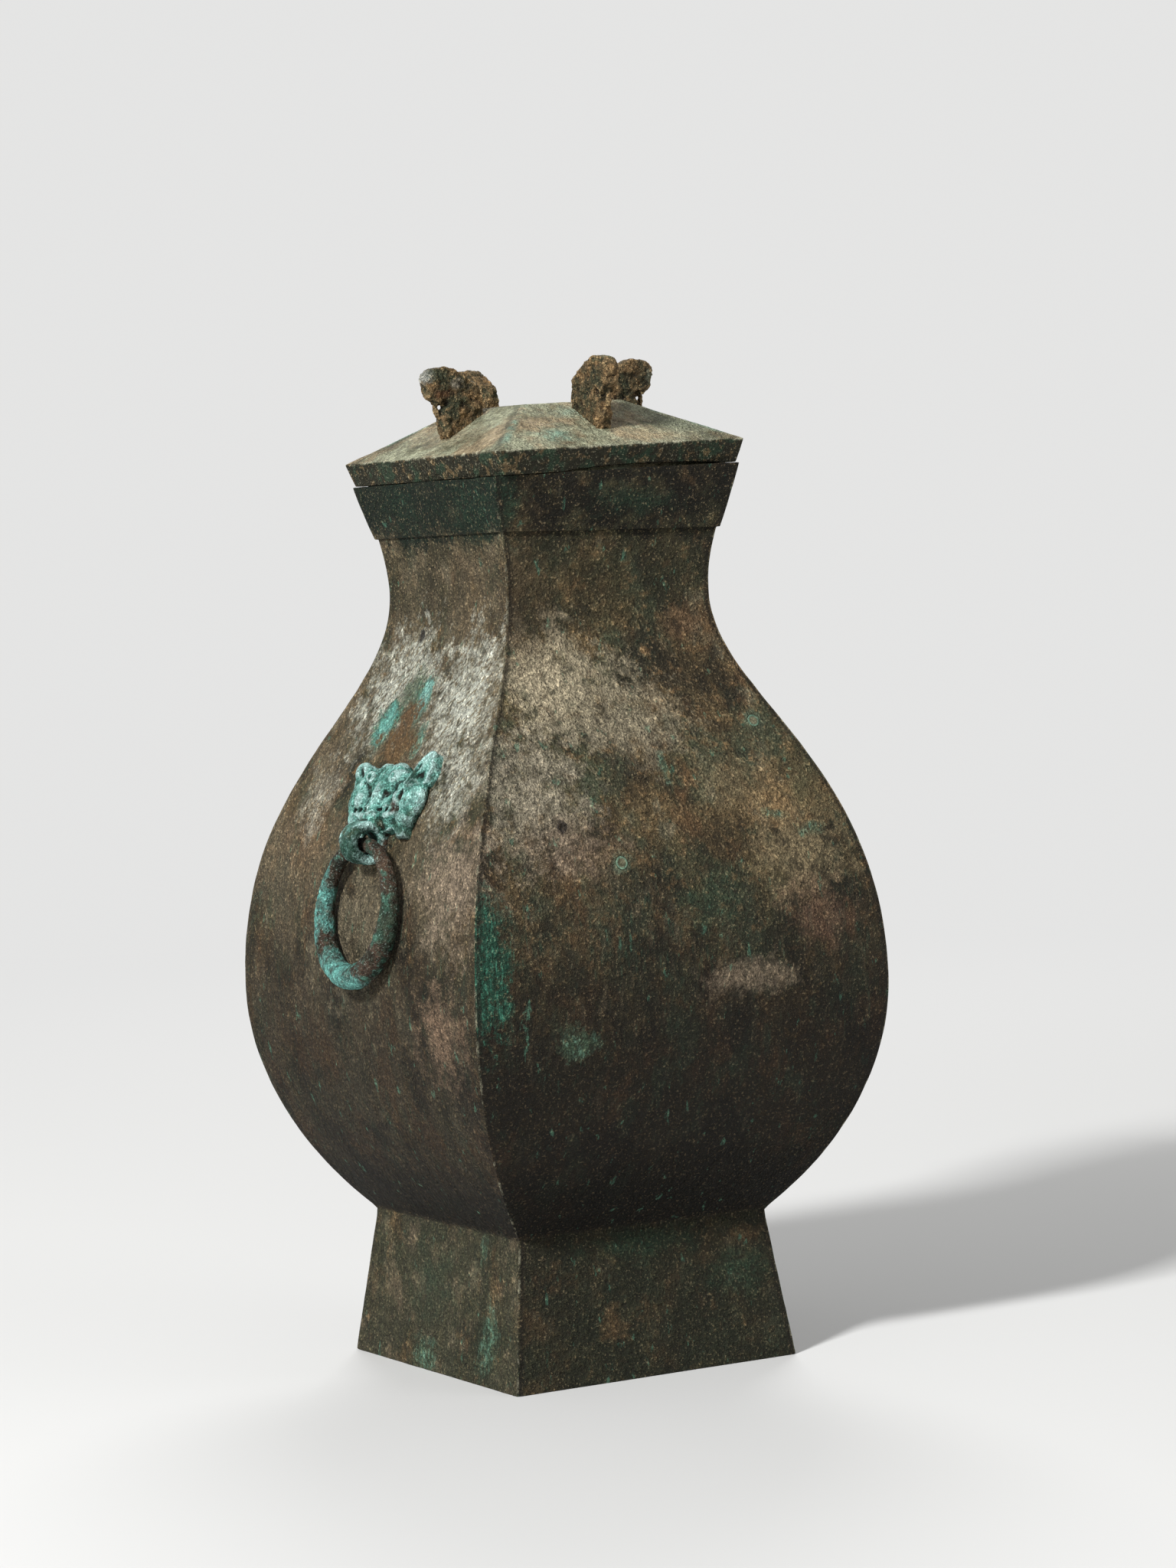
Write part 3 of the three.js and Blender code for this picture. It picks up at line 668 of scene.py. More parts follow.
# %% Finish of the body: green and turquoise
GREEN = [
    ((-60, -42, 387), (14, 38, 22), 1.0), ((-62, 24, 389), (12, 24, 18), 0.8),
    ((10, -61, 386), (30, 10, 8), 0.5), ((12, -105, 210), (22, 12, 26), 0.5),
    ((74, -92, 262), (16, 16, 24), 0.6), ((49, -67, 42), (18, 8, 14), 0.6),
    ((0, -68, 58), (40, 8, 8), 0.5), ((-68, 10, 40), (8, 26, 22), 0.45),
    ((-62, 8, 311), (14, 8, 9), 0.7), ((64, 30, 386), (12, 30, 14), 0.7),
    ((20, 105, 226), (26, 12, 34), 0.6), ((106, -30, 150), (12, 26, 26), 0.5),
]
for centre, radii, strength in GREEN:
    bronze.layer(bronze.stain(centre, radii, 0.9, strength), (46, 74, 56))
bronze.layer(bronze.times(collar, handle_face, 0.75), (16, 36, 25))
# Painted shade, partly dark patina too: a dark band low on the belly, just over the foot.
shade_and_patina_under_belly = bronze.times(ramp(tree, height, 0.108, 0.08), above_foot)
bronze.layer(bronze.times(shade_and_patina_under_belly, 0.75), (16, 15, 11))
beside_corner = bronze.times(bronze.stain((-103, -106, 192), (16, 18, 40), 0.45, 0.95), plain_face)
bronze.layer(beside_corner, (34, 76, 60))
bronze.layer(bronze.times(beside_corner, bronze.streaks(1.3, 6, 0.56)), (66, 126, 104))
TURQUOISE = [
    ((-58, -108, 155), (11, 8, 8)), ((-71, -45, 19), (10, 9, 20)), ((-72, 11, 7), (10, 12, 9)),
    ((-65, -34, 58), (8, 4, 9)), ((5, -85, 270), (3, 8, 10)), ((74, -98, 239), (9, 8, 4)),
    ((56, -92, 246), (10, 8, 3)), ((-74, -74, 30), (4, 4, 34)), ((40, 96, 246), (8, 8, 14)),
    ((70, 40, 20), (8, 8, 16)),
]
for centre, radii in TURQUOISE:
    mask = bronze.stain(centre, radii, 0.9, 0.7)
    bronze.layer(mask, (78, 106, 84))
    bronze.layer(bronze.times(mask, bronze.streaks(1.8, 4, 0.55)), (122, 164, 140))
bronze.patches(5, 0.65, (92, 138, 114), strength=0.6, stretch=2.5, softness=0.03)
print("body:", len(GREEN), "green stains and", len(TURQUOISE), "turquoise spots")

# %% [markdown]
# The handle's face is the showpiece: chalk wiped over the shoulder in slanting strokes, brown earth in
# the middle of it above the mask, and a run of turquoise on each side of the earth. It is masked to
# that face, so that the chalk stops at the corner as it does on the vessel.

# %% Finish of the body: the handle's face
CHALK = [
    ((-64, 22, 304), (32, 40, 36), 1.0), ((-70, -38, 300), (32, 36, 40), 1.0),
    ((-84, -60, 268), (22, 20, 30), 0.75), ((-92, 56, 256), (20, 18, 22), 0.35),
    ((72, -20, 300), (30, 44, 34), 0.8),
]
for centre, radii, strength in CHALK:
    zone = bronze.times(bronze.stain(centre, radii, 0.8, strength), handle_face)
    bronze.layer(bronze.times(zone, 0.75), (168, 161, 136))
    bronze.layer(bronze.times(zone, bronze.streaks(1.5, 7, 0.45, turn=(-40, 0, 0))), (226, 228, 212))
ABOVE_THE_MASK = [
    ((-68, 12, 302), (14, 16, 17), (84, 104, 80), 0.85),
    ((-74, 20, 291), (13, 12, 17), (84, 132, 112), 1.0),
    ((-74, 21, 290), (12, 7, 12), (122, 190, 176), 0.95),
    ((-70, -1, 299), (12, 9, 18), (92, 136, 114), 0.95),
    ((-69, -2, 300), (12, 5, 14), (148, 206, 194), 0.95),
    ((-79, -14, 284), (9, 5, 11), (112, 160, 140), 0.9),
    ((-79, 3, 281), (14, 19, 13), (122, 97, 66), 1.0),
    ((-73, 3, 294), (12, 10, 9), (116, 92, 64), 1.0),
    ((-88, -35, 263), (9, 9, 5), (110, 108, 84), 0.8),
]
bronze.stains(ABOVE_THE_MASK, 0.4, within=handle_face)
print("handle's face:", len(CHALK), "fields of chalk,", len(ABOVE_THE_MASK), "stains above the mask")

# %% [markdown]
# Last come the marks of casting and wear: fine scratches on the shoulder, a pale halo round each
# chaplet, and the dark of two dents. Along each corner runs a light line, partly edge wear and partly a
# painted highlight, with a painted shadow beside it on the plain face. The grit closes the finish, with
# fewer light grains where the metal is dark.

# %% Finish of the body: corners, chaplets and dents
scratched = bronze.stain((18, -74, 298), (30, 22, 26), 0.6)
bronze.layer(bronze.times(scratched, bronze.streaks(0.5, 17, 0.63, turn=(0, 32, 0))), (172, 160, 132))
# Along each corner a light line, partly edge wear and partly painted highlight, and a painted shadow beside
# it on the plain face.
corner_line = ramp(tree, math_node(tree, "ABSOLUTE", past_corner), 0.001, 0.0004)
corner_shadow = bronze.times(
    ramp(tree, past_corner, 0.0004, 0.0012), ramp(tree, past_corner, 0.0042, 0.0018),
)
bronze.layer(bronze.times(corner_shadow, 0.7), (36, 32, 24))
bronze.patches(9, 0.54, (150, 146, 124), 0.7, softness=0.04, within=corner_line)
PAD_HALOS = [(-28.5, -100, 229.6), (59.3, -74, 286.4), (28.5, 100, 229.6), (-59.3, 74, 286.4)]
for centre in PAD_HALOS:
    bronze.layer(bronze.stain(centre, (5.6, 5.6, 5.6), 0.5, 0.7), (118, 134, 110))
DARK_DENTS = [(-54, -95, 246.5), (-55, 19, 329)]
for centre in DARK_DENTS:
    bronze.layer(bronze.stain(centre, (3, 3, 3), 0.4, 0.9), (46, 42, 40))
plainer = math_node(tree, "MAXIMUM", low_belly, math_node(tree, "MULTIPLY", foot, 0.7))
calm = math_node(tree, "SUBTRACT", 0.35, math_node(tree, "MULTIPLY", plainer, 0.2))
body_material = bronze.done((36, 31, 22), (172, 150, 116), shade=(0.52, 1.46), grains=calm)

# %% [markdown]
# The body was cast in one piece with a wall of 2.6 mm. It could be lofted from a drawn section, but a
# caster thinks in rings: start with a square wire, then pull it up, widening or narrowing it a little
# each time. Edge extrusion does exactly that. The wire goes down from the ceiling of the foot, round
# the foot's rim, up the outside, over the mouth and down the inside to the floor, so the casting is one
# closed skin with its true thickness.

# %% Outline of the body
FOOT_STEPS, BELLY_STEPS, SHOULDER_STEPS, FLARE_STEPS, SIDE_CUTS = 4, 11, 17, 3, 13


def belly_point(share):
    """Half-width and height on the belly's arc, from the foot at 0 to the widest line at 1."""
    rise, swell = BELLY_Z - FOOT_HEIGHT, BELLY_HALF - FOOT_TOP_HALF
    radius = (rise ** 2 + swell ** 2) / (2 * swell)
    angle = -math.asin(rise / radius) * (1 - share)
    return BELLY_HALF - radius + radius * math.cos(angle), BELLY_Z + radius * math.sin(angle)


def shoulder_point(share):
    """The same on the shoulder's S-curve, from the widest line at 0 to the waist of the neck at 1."""
    rise = WAIST_Z - BELLY_Z
    handles = ((BELLY_HALF, BELLY_Z), (BELLY_HALF, BELLY_Z + SHOULDER_FULLNESS * rise),
               (NECK_HALF, WAIST_Z - NECK_FULLNESS * rise), (NECK_HALF, WAIST_Z))
    weights = ((1 - share) ** 3, 3 * share * (1 - share) ** 2, 3 * share ** 2 * (1 - share), share ** 3)
    return tuple(sum(w * h[i] for w, h in zip(weights, handles)) for i in (0, 1))


def flare_point(share):
    middle = (WAIST_Z + BAND_Z) / 2
    half = (1 - share ** 2) * NECK_HALF + share ** 2 * FLARE_HALF
    z = (1 - share) ** 2 * WAIST_Z + 2 * share * (1 - share) * middle + share ** 2 * BAND_Z
    return half, z


outer = [belly_point(i / BELLY_STEPS) for i in range(BELLY_STEPS)]
outer += [shoulder_point(i / SHOULDER_STEPS) for i in range(SHOULDER_STEPS)]
outer += [flare_point(i / FLARE_STEPS) for i in range(FLARE_STEPS + 1)]


def moved_inwards(outline, distance):
    """The outline moved square to itself, as the inner face of a wall of even thickness."""
    line = np.array(outline)
    run = np.gradient(line, axis=0)
    run /= np.linalg.norm(run, axis=1)[:, None]
    return [tuple(p) for p in line + distance * np.stack([-run[:, 1], run[:, 0]], 1)]


inner = moved_inwards(outer, WALL)
foot_ceiling = inner[0][1] - FLOOR
foot_outer = [(FOOT_TOP_HALF + FOOT_SPLAY * (1 - i / FOOT_STEPS), FOOT_HEIGHT * i / FOOT_STEPS)
              for i in range(FOOT_STEPS)]
foot_inner = [(FOOT_TOP_HALF + FOOT_SPLAY * (1 - z / FOOT_HEIGHT) - WALL, z)
              for z in (foot_ceiling, foot_ceiling / 2, 0)]
band = [(FLARE_HALF + BAND_STEP, BAND_Z), (59.6, 382), (61.8, 391), (RIM_HALF, RIM_Z)]
mouth = [(RIM_HALF - WALL, RIM_Z), (57.6, 388)]
skin = foot_inner + foot_outer + outer + band + mouth + inner[::-1]
print("rings in the skin:", len(skin), "foot ceiling at", round(foot_ceiling, 1), "mm")

# %% [markdown]
# A plane without its face is the square wire. Its sides are cut into equal lengths first, because
# they will swell later, and each pull is one extrusion and one resize about the vessel's axis. Edges
# that stay sharp get a crease, a weight that holds them when the skin is subdivided.

# %% Pull the body up ring by ring
CORNER_CREASE = 0.92
RING_CREASES = [(0, 0.85), (FOOT_HEIGHT, 0.75), (BAND_Z, 0.85), (RIM_Z, 0.85), (foot_ceiling, 0.7)]


def pull_square_skin(name, rings, cuts):
    """A closed skin through square rings, each given as (half-width, height) in millimetres."""
    deselect_all()
    half, z = rings[0]
    bpy.ops.mesh.primitive_plane_add(size=2 * half * MM, location=(0, 0, z * MM))
    obj = bpy.context.object
    obj.name = name
    keep_place_in_mesh(obj)
    bpy.ops.object.mode_set(mode="EDIT")
    bpy.ops.mesh.select_mode(type="EDGE")
    bpy.ops.mesh.select_all(action="SELECT")
    bpy.ops.mesh.delete(type="ONLY_FACE")
    bpy.ops.mesh.select_all(action="SELECT")
    bpy.ops.mesh.subdivide(number_cuts=cuts)
    for (half, z), (next_half, next_z) in zip(rings, rings[1:]):
        bpy.ops.mesh.extrude_edges_move(TRANSFORM_OT_translate={"value": (0, 0, (next_z - z) * MM)})
        growth = next_half / half
        bpy.ops.transform.resize(value=(growth, growth, 1), center_override=(0, 0, next_z * MM))
    bpy.ops.object.mode_set(mode="OBJECT")
    close_and_face_out(obj)
    return obj


def crease(obj, weigh):
    """Sets how sharp each edge stays under subdivision; weigh is given the edge's two points in mm."""
    points = points_of(obj) / MM
    layer = obj.data.attributes.new("crease_edge", "FLOAT", "EDGE")
    for edge in obj.data.edges:
        layer.data[edge.index].value = weigh(points[edge.vertices[0]], points[edge.vertices[1]])


def on_corner(point):
    return abs(abs(point[0]) - abs(point[1])) < 0.01 and abs(point[0]) > 5


def along_ring(start, end):
    return abs(start[2] - end[2]) < 0.01


def body_crease(start, end):
    if not along_ring(start, end):
        return CORNER_CREASE if on_corner(start) and on_corner(end) else 0.0
    for z, sharpness in RING_CREASES:
        if abs(start[2] - z) < 0.05:
            return sharpness
    return 0.0


body = pull_square_skin("body_casting", skin, SIDE_CUTS)
crease(body, body_crease)
print("body rings joined:", len(body.data.vertices), "points")

# %% [markdown]
# Four flat sides would look like sheet metal. The real sides swell a little between the corners, most
# at the widest line. Then the mouth is tilted, and subdivision rounds the whole skin while the creased
# corners, collar and foot line stay crisp. Last come the round holes in which the chaplets sit, small
# pads that once held the core off the mould. They are drilled after the smoothing, which would close
# them. Three small dents are cut with balls: two where the photograph shows them, and one behind.

# %% Swell the sides, tilt the mouth and smooth


def swell_sides(obj):
    points = points_of(obj) / MM
    half = np.abs(points[:, :2]).max(1)
    narrow = np.where(points[:, 2] < BELLY_Z, FOOT_TOP_HALF, NECK_HALF)
    swell = BELLY_CROWN * np.clip((half - narrow) / (BELLY_HALF - narrow), 0, 1)
    swell[(points[:, 2] < FOOT_HEIGHT) | (points[:, 2] > BAND_Z - 0.5)] = 0
    for axis, other in ((0, 1), (1, 0)):
        face = np.abs(points[:, axis]) >= half - 0.001
        along = points[:, other] / np.maximum(half, 1)
        points[:, axis] += np.where(face, np.sign(points[:, axis]) * swell * (1 - along ** 2), 0)
    return points


PAD_RADIUS, PAD_DEPTH = 3, 2.7
DRILL_ROOM, DRILL_DEPTH = 0.15, 9


def lean_of_wall(z):
    """How far the shoulder leans inwards at a height, in radians."""
    line = np.array([shoulder_point(share) for share in np.linspace(0, 1, 200)])
    slope = np.gradient(line[:, 0]) / np.gradient(line[:, 1])
    return math.atan(-np.interp(z, line[:, 1], slope))


chaplets = []
for side, turn in (("front", 0), ("back", math.pi)):
    for level in ("low", "high"):
        node = f"chaplet_{side}_{level}"
        low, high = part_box(node)
        middle = (Vector(low) + Vector(high)) / 2
        chaplets.append((node, middle, turn, lean_of_wall(middle.z / MM)))

points = swell_sides(body)
over_band = np.clip((points[:, 2] - BAND_Z) / (RIM_Z - BAND_Z), 0, 1)
points[:, 2] += points[:, 0] * math.tan(MOUTH_TILT) * over_band
set_points(body, points * MM)
apply_modifier(body, "SUBSURF", levels=2, render_levels=2)
roughen(body, grain_mm=60, height_mm=0.9, depth=1)
roughen(body, grain_mm=9, height_mm=0.45, depth=3)
for node, middle, turn, lean in chaplets:
    deselect_all()
    bpy.ops.mesh.primitive_cylinder_add(
        vertices=48, radius=(PAD_RADIUS + DRILL_ROOM) * MM, depth=DRILL_DEPTH * MM, location=middle,
        rotation=(math.radians(90) - lean, 0, turn),
    )
    cut_away(body, bpy.context.object)
print("holes drilled for", len(chaplets), "chaplets")
DENTS = [((-54, -96.3, 246.9), 2.3), ((-58.6, 19, 331), 4.2), ((24, 97.4, 252), 2.2)]
for centre, radius in DENTS:
    deselect_all()
    bpy.ops.mesh.primitive_ico_sphere_add(
        subdivisions=3, radius=radius * MM, location=[v * MM for v in centre],
    )
    cut_away(body, bpy.context.object)
print("dents:", len(DENTS))
finish_piece(body, body_material, "vessel", "body_bronze", "vessel_body", angle=35)

# %% [markdown]
# The lid's slopes are sage green and sandy, with pale turquoise run down the hips. Its thick edge is
# dark and gritty with tan specks, and its eaves are chipped pale. The lid lies turned and tilted, so
# each point remembers where it lay on the level lid: how far out, how high and how far from a hip.

# %% Finish of the lid
sage = Finish("sage patina", grain_mm=1.0, grit_mm=0.7, lump_mm=1.0)
tree = sage.tree
oxide = colour_ramp(tree, sage.cloud(17, stretch=0.6), [
    (0.32, (88, 88, 66)), (0.43, (132, 132, 106)), (0.52, (164, 166, 138)), (0.62, (178, 180, 150)),
    (0.72, (176, 196, 172)),
])
earth = colour_ramp(tree, sage.cloud(12), [
    (0.34, (100, 90, 66)), (0.48, (154, 138, 108)), (0.6, (184, 166, 134)), (0.72, (194, 182, 154)),
])
sage.colour = blend(tree, ramp(tree, sage.cloud(30), 0.46, 0.6), oxide, earth)
LID_STAINS = [
    ((-50, 6, 419), (15, 40, 9), (146, 128, 102), 0.7), ((-54, 34, 414), (10, 16, 6), (96, 88, 66), 0.6),
    ((20, -58, 416), (30, 12, 7), (178, 158, 124), 0.8), ((44, -46, 420), (24, 20, 9), (84, 92, 72), 0.7),
    ((-26, -54, 414), (12, 10, 6), (132, 182, 162), 0.65), ((2, -36, 428), (16, 8, 6), (140, 176, 156), 0.5),
    ((14, 44, 422), (40, 20, 10), (116, 116, 92), 0.6), ((50, 10, 424), (14, 36, 9), (138, 132, 108), 0.6),
]
sage.stains(LID_STAINS, 0.9)

level = add_node(tree, "ShaderNodeSeparateXYZ", {
    "Vector": add_node(tree, "ShaderNodeAttribute", attribute_name="level_place").outputs["Vector"],
}).outputs
wander = math_node(tree, "MULTIPLY", sage.fray, 0.9)
hip = ramp(tree, math_node(tree, "ADD", math_node(tree, "ABSOLUTE", level["Z"]), wander), 4, 0.5)
beside_hip = sage.times(ramp(tree, level["Z"], -0.5, -2), ramp(tree, level["Z"], -9, -4))
sage.patches(11, 0.47, (74, 78, 60), 0.7, softness=0.07, within=beside_hip)
sage.patches(14, 0.54, (128, 166, 146), 0.7, within=hip)
ragged = math_node(tree, "ADD", level["Y"], math_node(tree, "MULTIPLY", sage.fray, 0.35))
edge = sage.times(ramp(tree, ragged, EAVES_Z + 0.5, EAVES_Z - 0.5), ramp(tree, level["X"], 59, 61))
sage.layer(edge, (42, 41, 29))
sage.patches(10, 0.55, (44, 68, 50), 0.7, softness=0.05, within=edge)
sage.patches(4, 0.58, (118, 98, 68), 0.7, softness=0.04, within=edge)
chips = sage.times(
    ramp(tree, level["Y"], EAVES_Z - 1, EAVES_Z), ramp(tree, level["Y"], EAVES_Z + 1.4, EAVES_Z + 0.3),
    ramp(tree, sage.cloud(6), 0.5, 0.56), ramp(tree, level["X"], 63.5, 65),
)
sage.layer(sage.times(chips, 0.8), (186, 184, 158))
lid_material = sage.done((40, 37, 26), (186, 180, 154), shade=(0.72, 1.5))

# %% [markdown]
# The lid is pulled ring by ring as the body was: down the inside, round the spigot that sits in the
# mouth, out along the seat, up the thick edge and up the slopes to the small flat top. Its front edge
# has corroded away a little, so it stands off the rim there and leaves a dark gap.

# %% Lid
ROOF_STEPS, LID_SIDE_CUTS = 8, 11
SPIGOT_INSIDE, SPIGOT_OUTSIDE, SPIGOT_ROOT = 52.05, 54.65, 58.3
roof = [(EAVES_HALF + (ROOF_FLAT_HALF - EAVES_HALF) * i / ROOF_STEPS,
         EAVES_Z + (ROOF_Z - EAVES_Z) * i / ROOF_STEPS) for i in range(ROOF_STEPS + 1)]
lid_rings = [
    (10, 28.9), (20.8, 28.9), (39, 20.6), (55.7, 12.7), (55.7, 0.3), (SPIGOT_INSIDE, SPIGOT_Z),
    (SPIGOT_OUTSIDE, SPIGOT_Z), (58.2, 0), (SPIGOT_ROOT, LID_SEAT_Z), (SEAT_HALF, LID_SEAT_Z),
    (63.3, 3.8), (64.3, 7.2),
] + roof + [(18, ROOF_Z), (9, ROOF_Z)]
HIP_CREASE = 0.75
LID_RING_CREASES = [
    (EAVES_HALF, EAVES_Z, 0.8), (SEAT_HALF, LID_SEAT_Z, 0.7), (ROOF_FLAT_HALF, ROOF_Z, 0.5),
    (SPIGOT_INSIDE, SPIGOT_Z, 0.7), (SPIGOT_OUTSIDE, SPIGOT_Z, 0.7), (SPIGOT_ROOT, LID_SEAT_Z, 0.7),
]
EATEN_DEPTH, EATEN_FROM_X, EATEN_LENGTH = 1.9, -30, 84


def lid_crease(start, end):
    if not along_ring(start, end):
        return HIP_CREASE if on_corner(start) and on_corner(end) else 0.0
    half = max(abs(start[0]), abs(start[1]))
    for ring_half, z, sharpness in LID_RING_CREASES:
        if abs(half - ring_half) < 0.05 and abs(start[2] - z) < 0.05:
            return sharpness
    return 0.0


def eat_front_edge(points):
    """Raises the underside of the front edge, most in the middle of the length that is eaten."""
    front_edge = np.clip((-points[:, 1] - 57) / 4, 0, 1) * np.clip((8 - points[:, 2]) / 6, 0, 1)
    along = np.sin((points[:, 0] - EATEN_FROM_X) / EATEN_LENGTH * math.pi)
    eaten = EATEN_DEPTH * np.clip(along, 0, 1) ** 0.6
    points[:, 2] += front_edge * eaten * (points[:, 2] > 0)


def set_on_mouth(obj):
    """Turns and tilts a piece from the level lid's frame onto the mouth, and lifts it to the rim."""
    obj.matrix_world = (
        Matrix.Translation((0, 0, RIM_Z * MM))
        @ Matrix.Rotation(-MOUTH_TILT, 4, "Y")
        @ Matrix.Rotation(LID_TURN, 4, "Z")
    )
    keep_place_in_mesh(obj)


lid = pull_square_skin("lid_casting", lid_rings, LID_SIDE_CUTS)
crease(lid, lid_crease)
apply_modifier(lid, "SUBSURF", levels=2, render_levels=2)
points = points_of(lid) / MM
eat_front_edge(points)
wide = np.abs(points[:, :2])
level_place = np.stack([wide.max(1), points[:, 2], wide[:, 1] - wide[:, 0]], 1)
remembered = lid.data.attributes.new("level_place", "FLOAT_VECTOR", "POINT")
remembered.data.foreach_set("vector", level_place.ravel())
set_points(lid, points * MM)
roughen(lid, grain_mm=40, height_mm=0.7, depth=1)
roughen(lid, grain_mm=5, height_mm=0.45, depth=3)
set_on_mouth(lid)
print("lid reaches up to", round(max(v.co.z for v in lid.data.vertices) / MM, 1), "mm")
finish_piece(lid, lid_material, "lid", "lid_bronze", "lid_plate", angle=35)

# %% [markdown]
# The finials, the masks and their loops have no straight line in them. A modeller would cut each from
# a slab of clay and press lumps on it. So the side view is drawn as a slab, balls are stretched and
# turned for the lumps, and a voxel remesh melts them into one skin. Hollows are balls that are cut
# away, and smoothing presses the joints.

# %% Clay tools


def clay_slab(outline, push):
    """A plate: an outline of points in millimetres, pushed out along a vector in millimetres."""
    deselect_all()
    bpy.ops.mesh.primitive_circle_add(vertices=len(outline), radius=MM, fill_type="NGON")
    slab = bpy.context.object
    set_points(slab, np.array(outline, dtype=float) * MM)
    bpy.ops.object.mode_set(mode="EDIT")
    bpy.ops.mesh.select_all(action="SELECT")
    bpy.ops.mesh.extrude_region_move(TRANSFORM_OT_translate={"value": [v * MM for v in push]})
    bpy.ops.mesh.select_all(action="SELECT")
    bpy.ops.mesh.normals_make_consistent(inside=False)
    bpy.ops.object.mode_set(mode="OBJECT")
    return slab


def clay_ball(centre, radii, turn=0.0, axis="Y"):
    """A stretched ball in millimetres, turned in degrees about one axis through its centre."""
    deselect_all()
    turns = Euler([math.radians(turn) if name == axis else 0 for name in "XYZ"])
    bpy.ops.mesh.primitive_uv_sphere_add(
        segments=24, ring_count=14, radius=MM, location=[v * MM for v in centre], rotation=turns,
        scale=radii,
    )
    ball = bpy.context.object
    keep_place_in_mesh(ball)
    return ball


def melt(parts, hollows, name, voxel_mm, smooth):
    """Melts parts into one skin, cuts the hollows and presses the joints smooth."""
    clay = join(parts, name)
    apply_modifier(clay, "REMESH", mode="VOXEL", voxel_size=voxel_mm * MM)
    for hollow in hollows:
        cut_away(clay, hollow)
    apply_modifier(clay, "REMESH", mode="VOXEL", voxel_size=voxel_mm * MM)
    apply_modifier(clay, "SMOOTH", factor=0.6, iterations=smooth)
    return clay


def copied(obj, name, place):
    """A copy under a new name, with its place written into its mesh."""
    copy = obj.copy()
    copy.data = obj.data.copy()
    copy.name = name
    bpy.context.scene.collection.objects.link(copy)
    copy.matrix_world = place
    keep_place_in_mesh(copy)
    return copy


def turned_round(degrees):
    """A turn about the vessel's axis."""
    return Matrix.Rotation(math.radians(degrees), 4, "Z")


print("clay tools ready")

# %% [markdown]
# The finials carry the thickest crust of all, sandy crumbs with black pits between them, over a dark
# green that shows on the heads. Each point knows how deep it lies below its surroundings, so the
# hollows turn dark, partly with dark patina and partly with painted shade, and the bumps turn sandy.

# %% Finish of the finials
crumbs = Finish("tan crust", grain_mm=1.1, grit_mm=0.9, lump_mm=1.2)
tree = crumbs.tree
crumbs.colour = colour_ramp(tree, crumbs.cloud(7), [
    (0.34, (48, 46, 33)), (0.46, (86, 78, 56)), (0.54, (120, 98, 68)), (0.66, (150, 120, 82)),
])
hollow = crumbs.attribute("hollow")
crumbs.patches(9, 0.55, (62, 70, 52), 0.7, softness=0.05)
# Dark in the hollows: partly dark patina, partly painted shade.
crumbs.layer(crumbs.times(ramp(tree, hollow, 0.1, 1.0), 0.9), (30, 26, 18))
crumbs.layer(crumbs.times(ramp(tree, hollow, -0.3, -1.1), 0.6), (174, 146, 106))
HEAD_STAINS = [
    ((-61, -2, 444), (5, 6, 4), (186, 188, 178), 0.9), ((-56, -4, 444), (6, 6, 5), (66, 74, 56), 0.8),
    ((-55, -3, 436.5), (6, 6, 3.5), (92, 62, 40), 0.8), ((-46, -6, 441), (4, 3, 2.5), (170, 162, 144), 0.6),
    ((58, 1, 446), (5, 6, 5), (164, 172, 152), 0.7), ((2, -53, 450), (6, 8, 4), (104, 116, 88), 0.7),
]
crumbs.stains(HEAD_STAINS, 0.5)
finial_material = crumbs.done((22, 18, 12), (196, 166, 122), shade=(0.55, 1.4))

# %% [markdown]
# A finial is a bird or a scroll of cloud, seen from its side: a heavy head that looks out over the
# eaves, a beak that curls back under it, a hollow throat, a hunched back, and a foot that runs up the
# slope. It is modelled once, looking along +X. Each lump and each hollow is a ball with its middle,
# its radii and its turn.

# %% One bird in clay
BIRD_OUTLINE = [
    (-0.8, -1.2), (0, 1), (2, 8.9), (1.2, 12.4), (0, 15.4), (3.2, 15.6), (8, 20), (9.5, 26.6),
    (5.4, 31.4), (-2.4, 32.4), (-8, 29.8), (-12.8, 26.8), (-18.4, 22), (-19.8, 16.5), (-19.2, 9),
]
BIRD_THICKNESS, CLAY_VOXEL = 7, 0.5
BIRD_LUMPS = [
    ((5.2, 0, 27), (5, 4.7, 4.9), 0), ((4.6, 0, 19.6), (4.8, 3.6, 2.7), -28),
    ((-5.5, 0, 27.4), (6.4, 4.4, 3.8), -26), ((-15.2, 0, 21.8), (4.6, 4.5, 3.8), -22),
    ((-9.5, 0, 18.6), (7, 4.3, 5.4), 0), ((-8.4, 0, 11.8), (3.2, 4.8, 2.6), 28),
    ((-15.4, 0, 13.6), (4, 5, 3.1), 28), ((-0.2, 0, 5.4), (2.3, 4.3, 6.4), 14),
    ((3.7, 0.5, 12.8), (1.2, 1.4, 4), 18),
]
BIRD_HOLLOWS = [
    ((9.6, 0, 22.9), (2, 3.2, 1), -18), ((2.5, 0, 5), (1.3, 1, 5), 14),
    ((2.2, -4.6, 23.2), (4.6, 1.3, 0.8), -24), ((2.2, 4.6, 23.2), (4.6, 1.3, 0.8), -24),
    ((0.4, -4.4, 15.6), (2.7, 3.2, 2.3), 40), ((0.4, 4.4, 15.6), (2.7, 3.2, 2.3), 40),
    ((-11, -4.9, 15.8), (7, 1.3, 0.9), 24), ((-11, 4.9, 15.8), (7, 1.3, 0.9), 24),
    ((-12, -5, 12.4), (0.9, 1.6, 2.6), 0), ((-12, 5, 12.4), (0.9, 1.6, 2.6), 0),
]
slab = clay_slab([(x, -BIRD_THICKNESS / 2, z) for x, z in BIRD_OUTLINE], (0, BIRD_THICKNESS, 0))
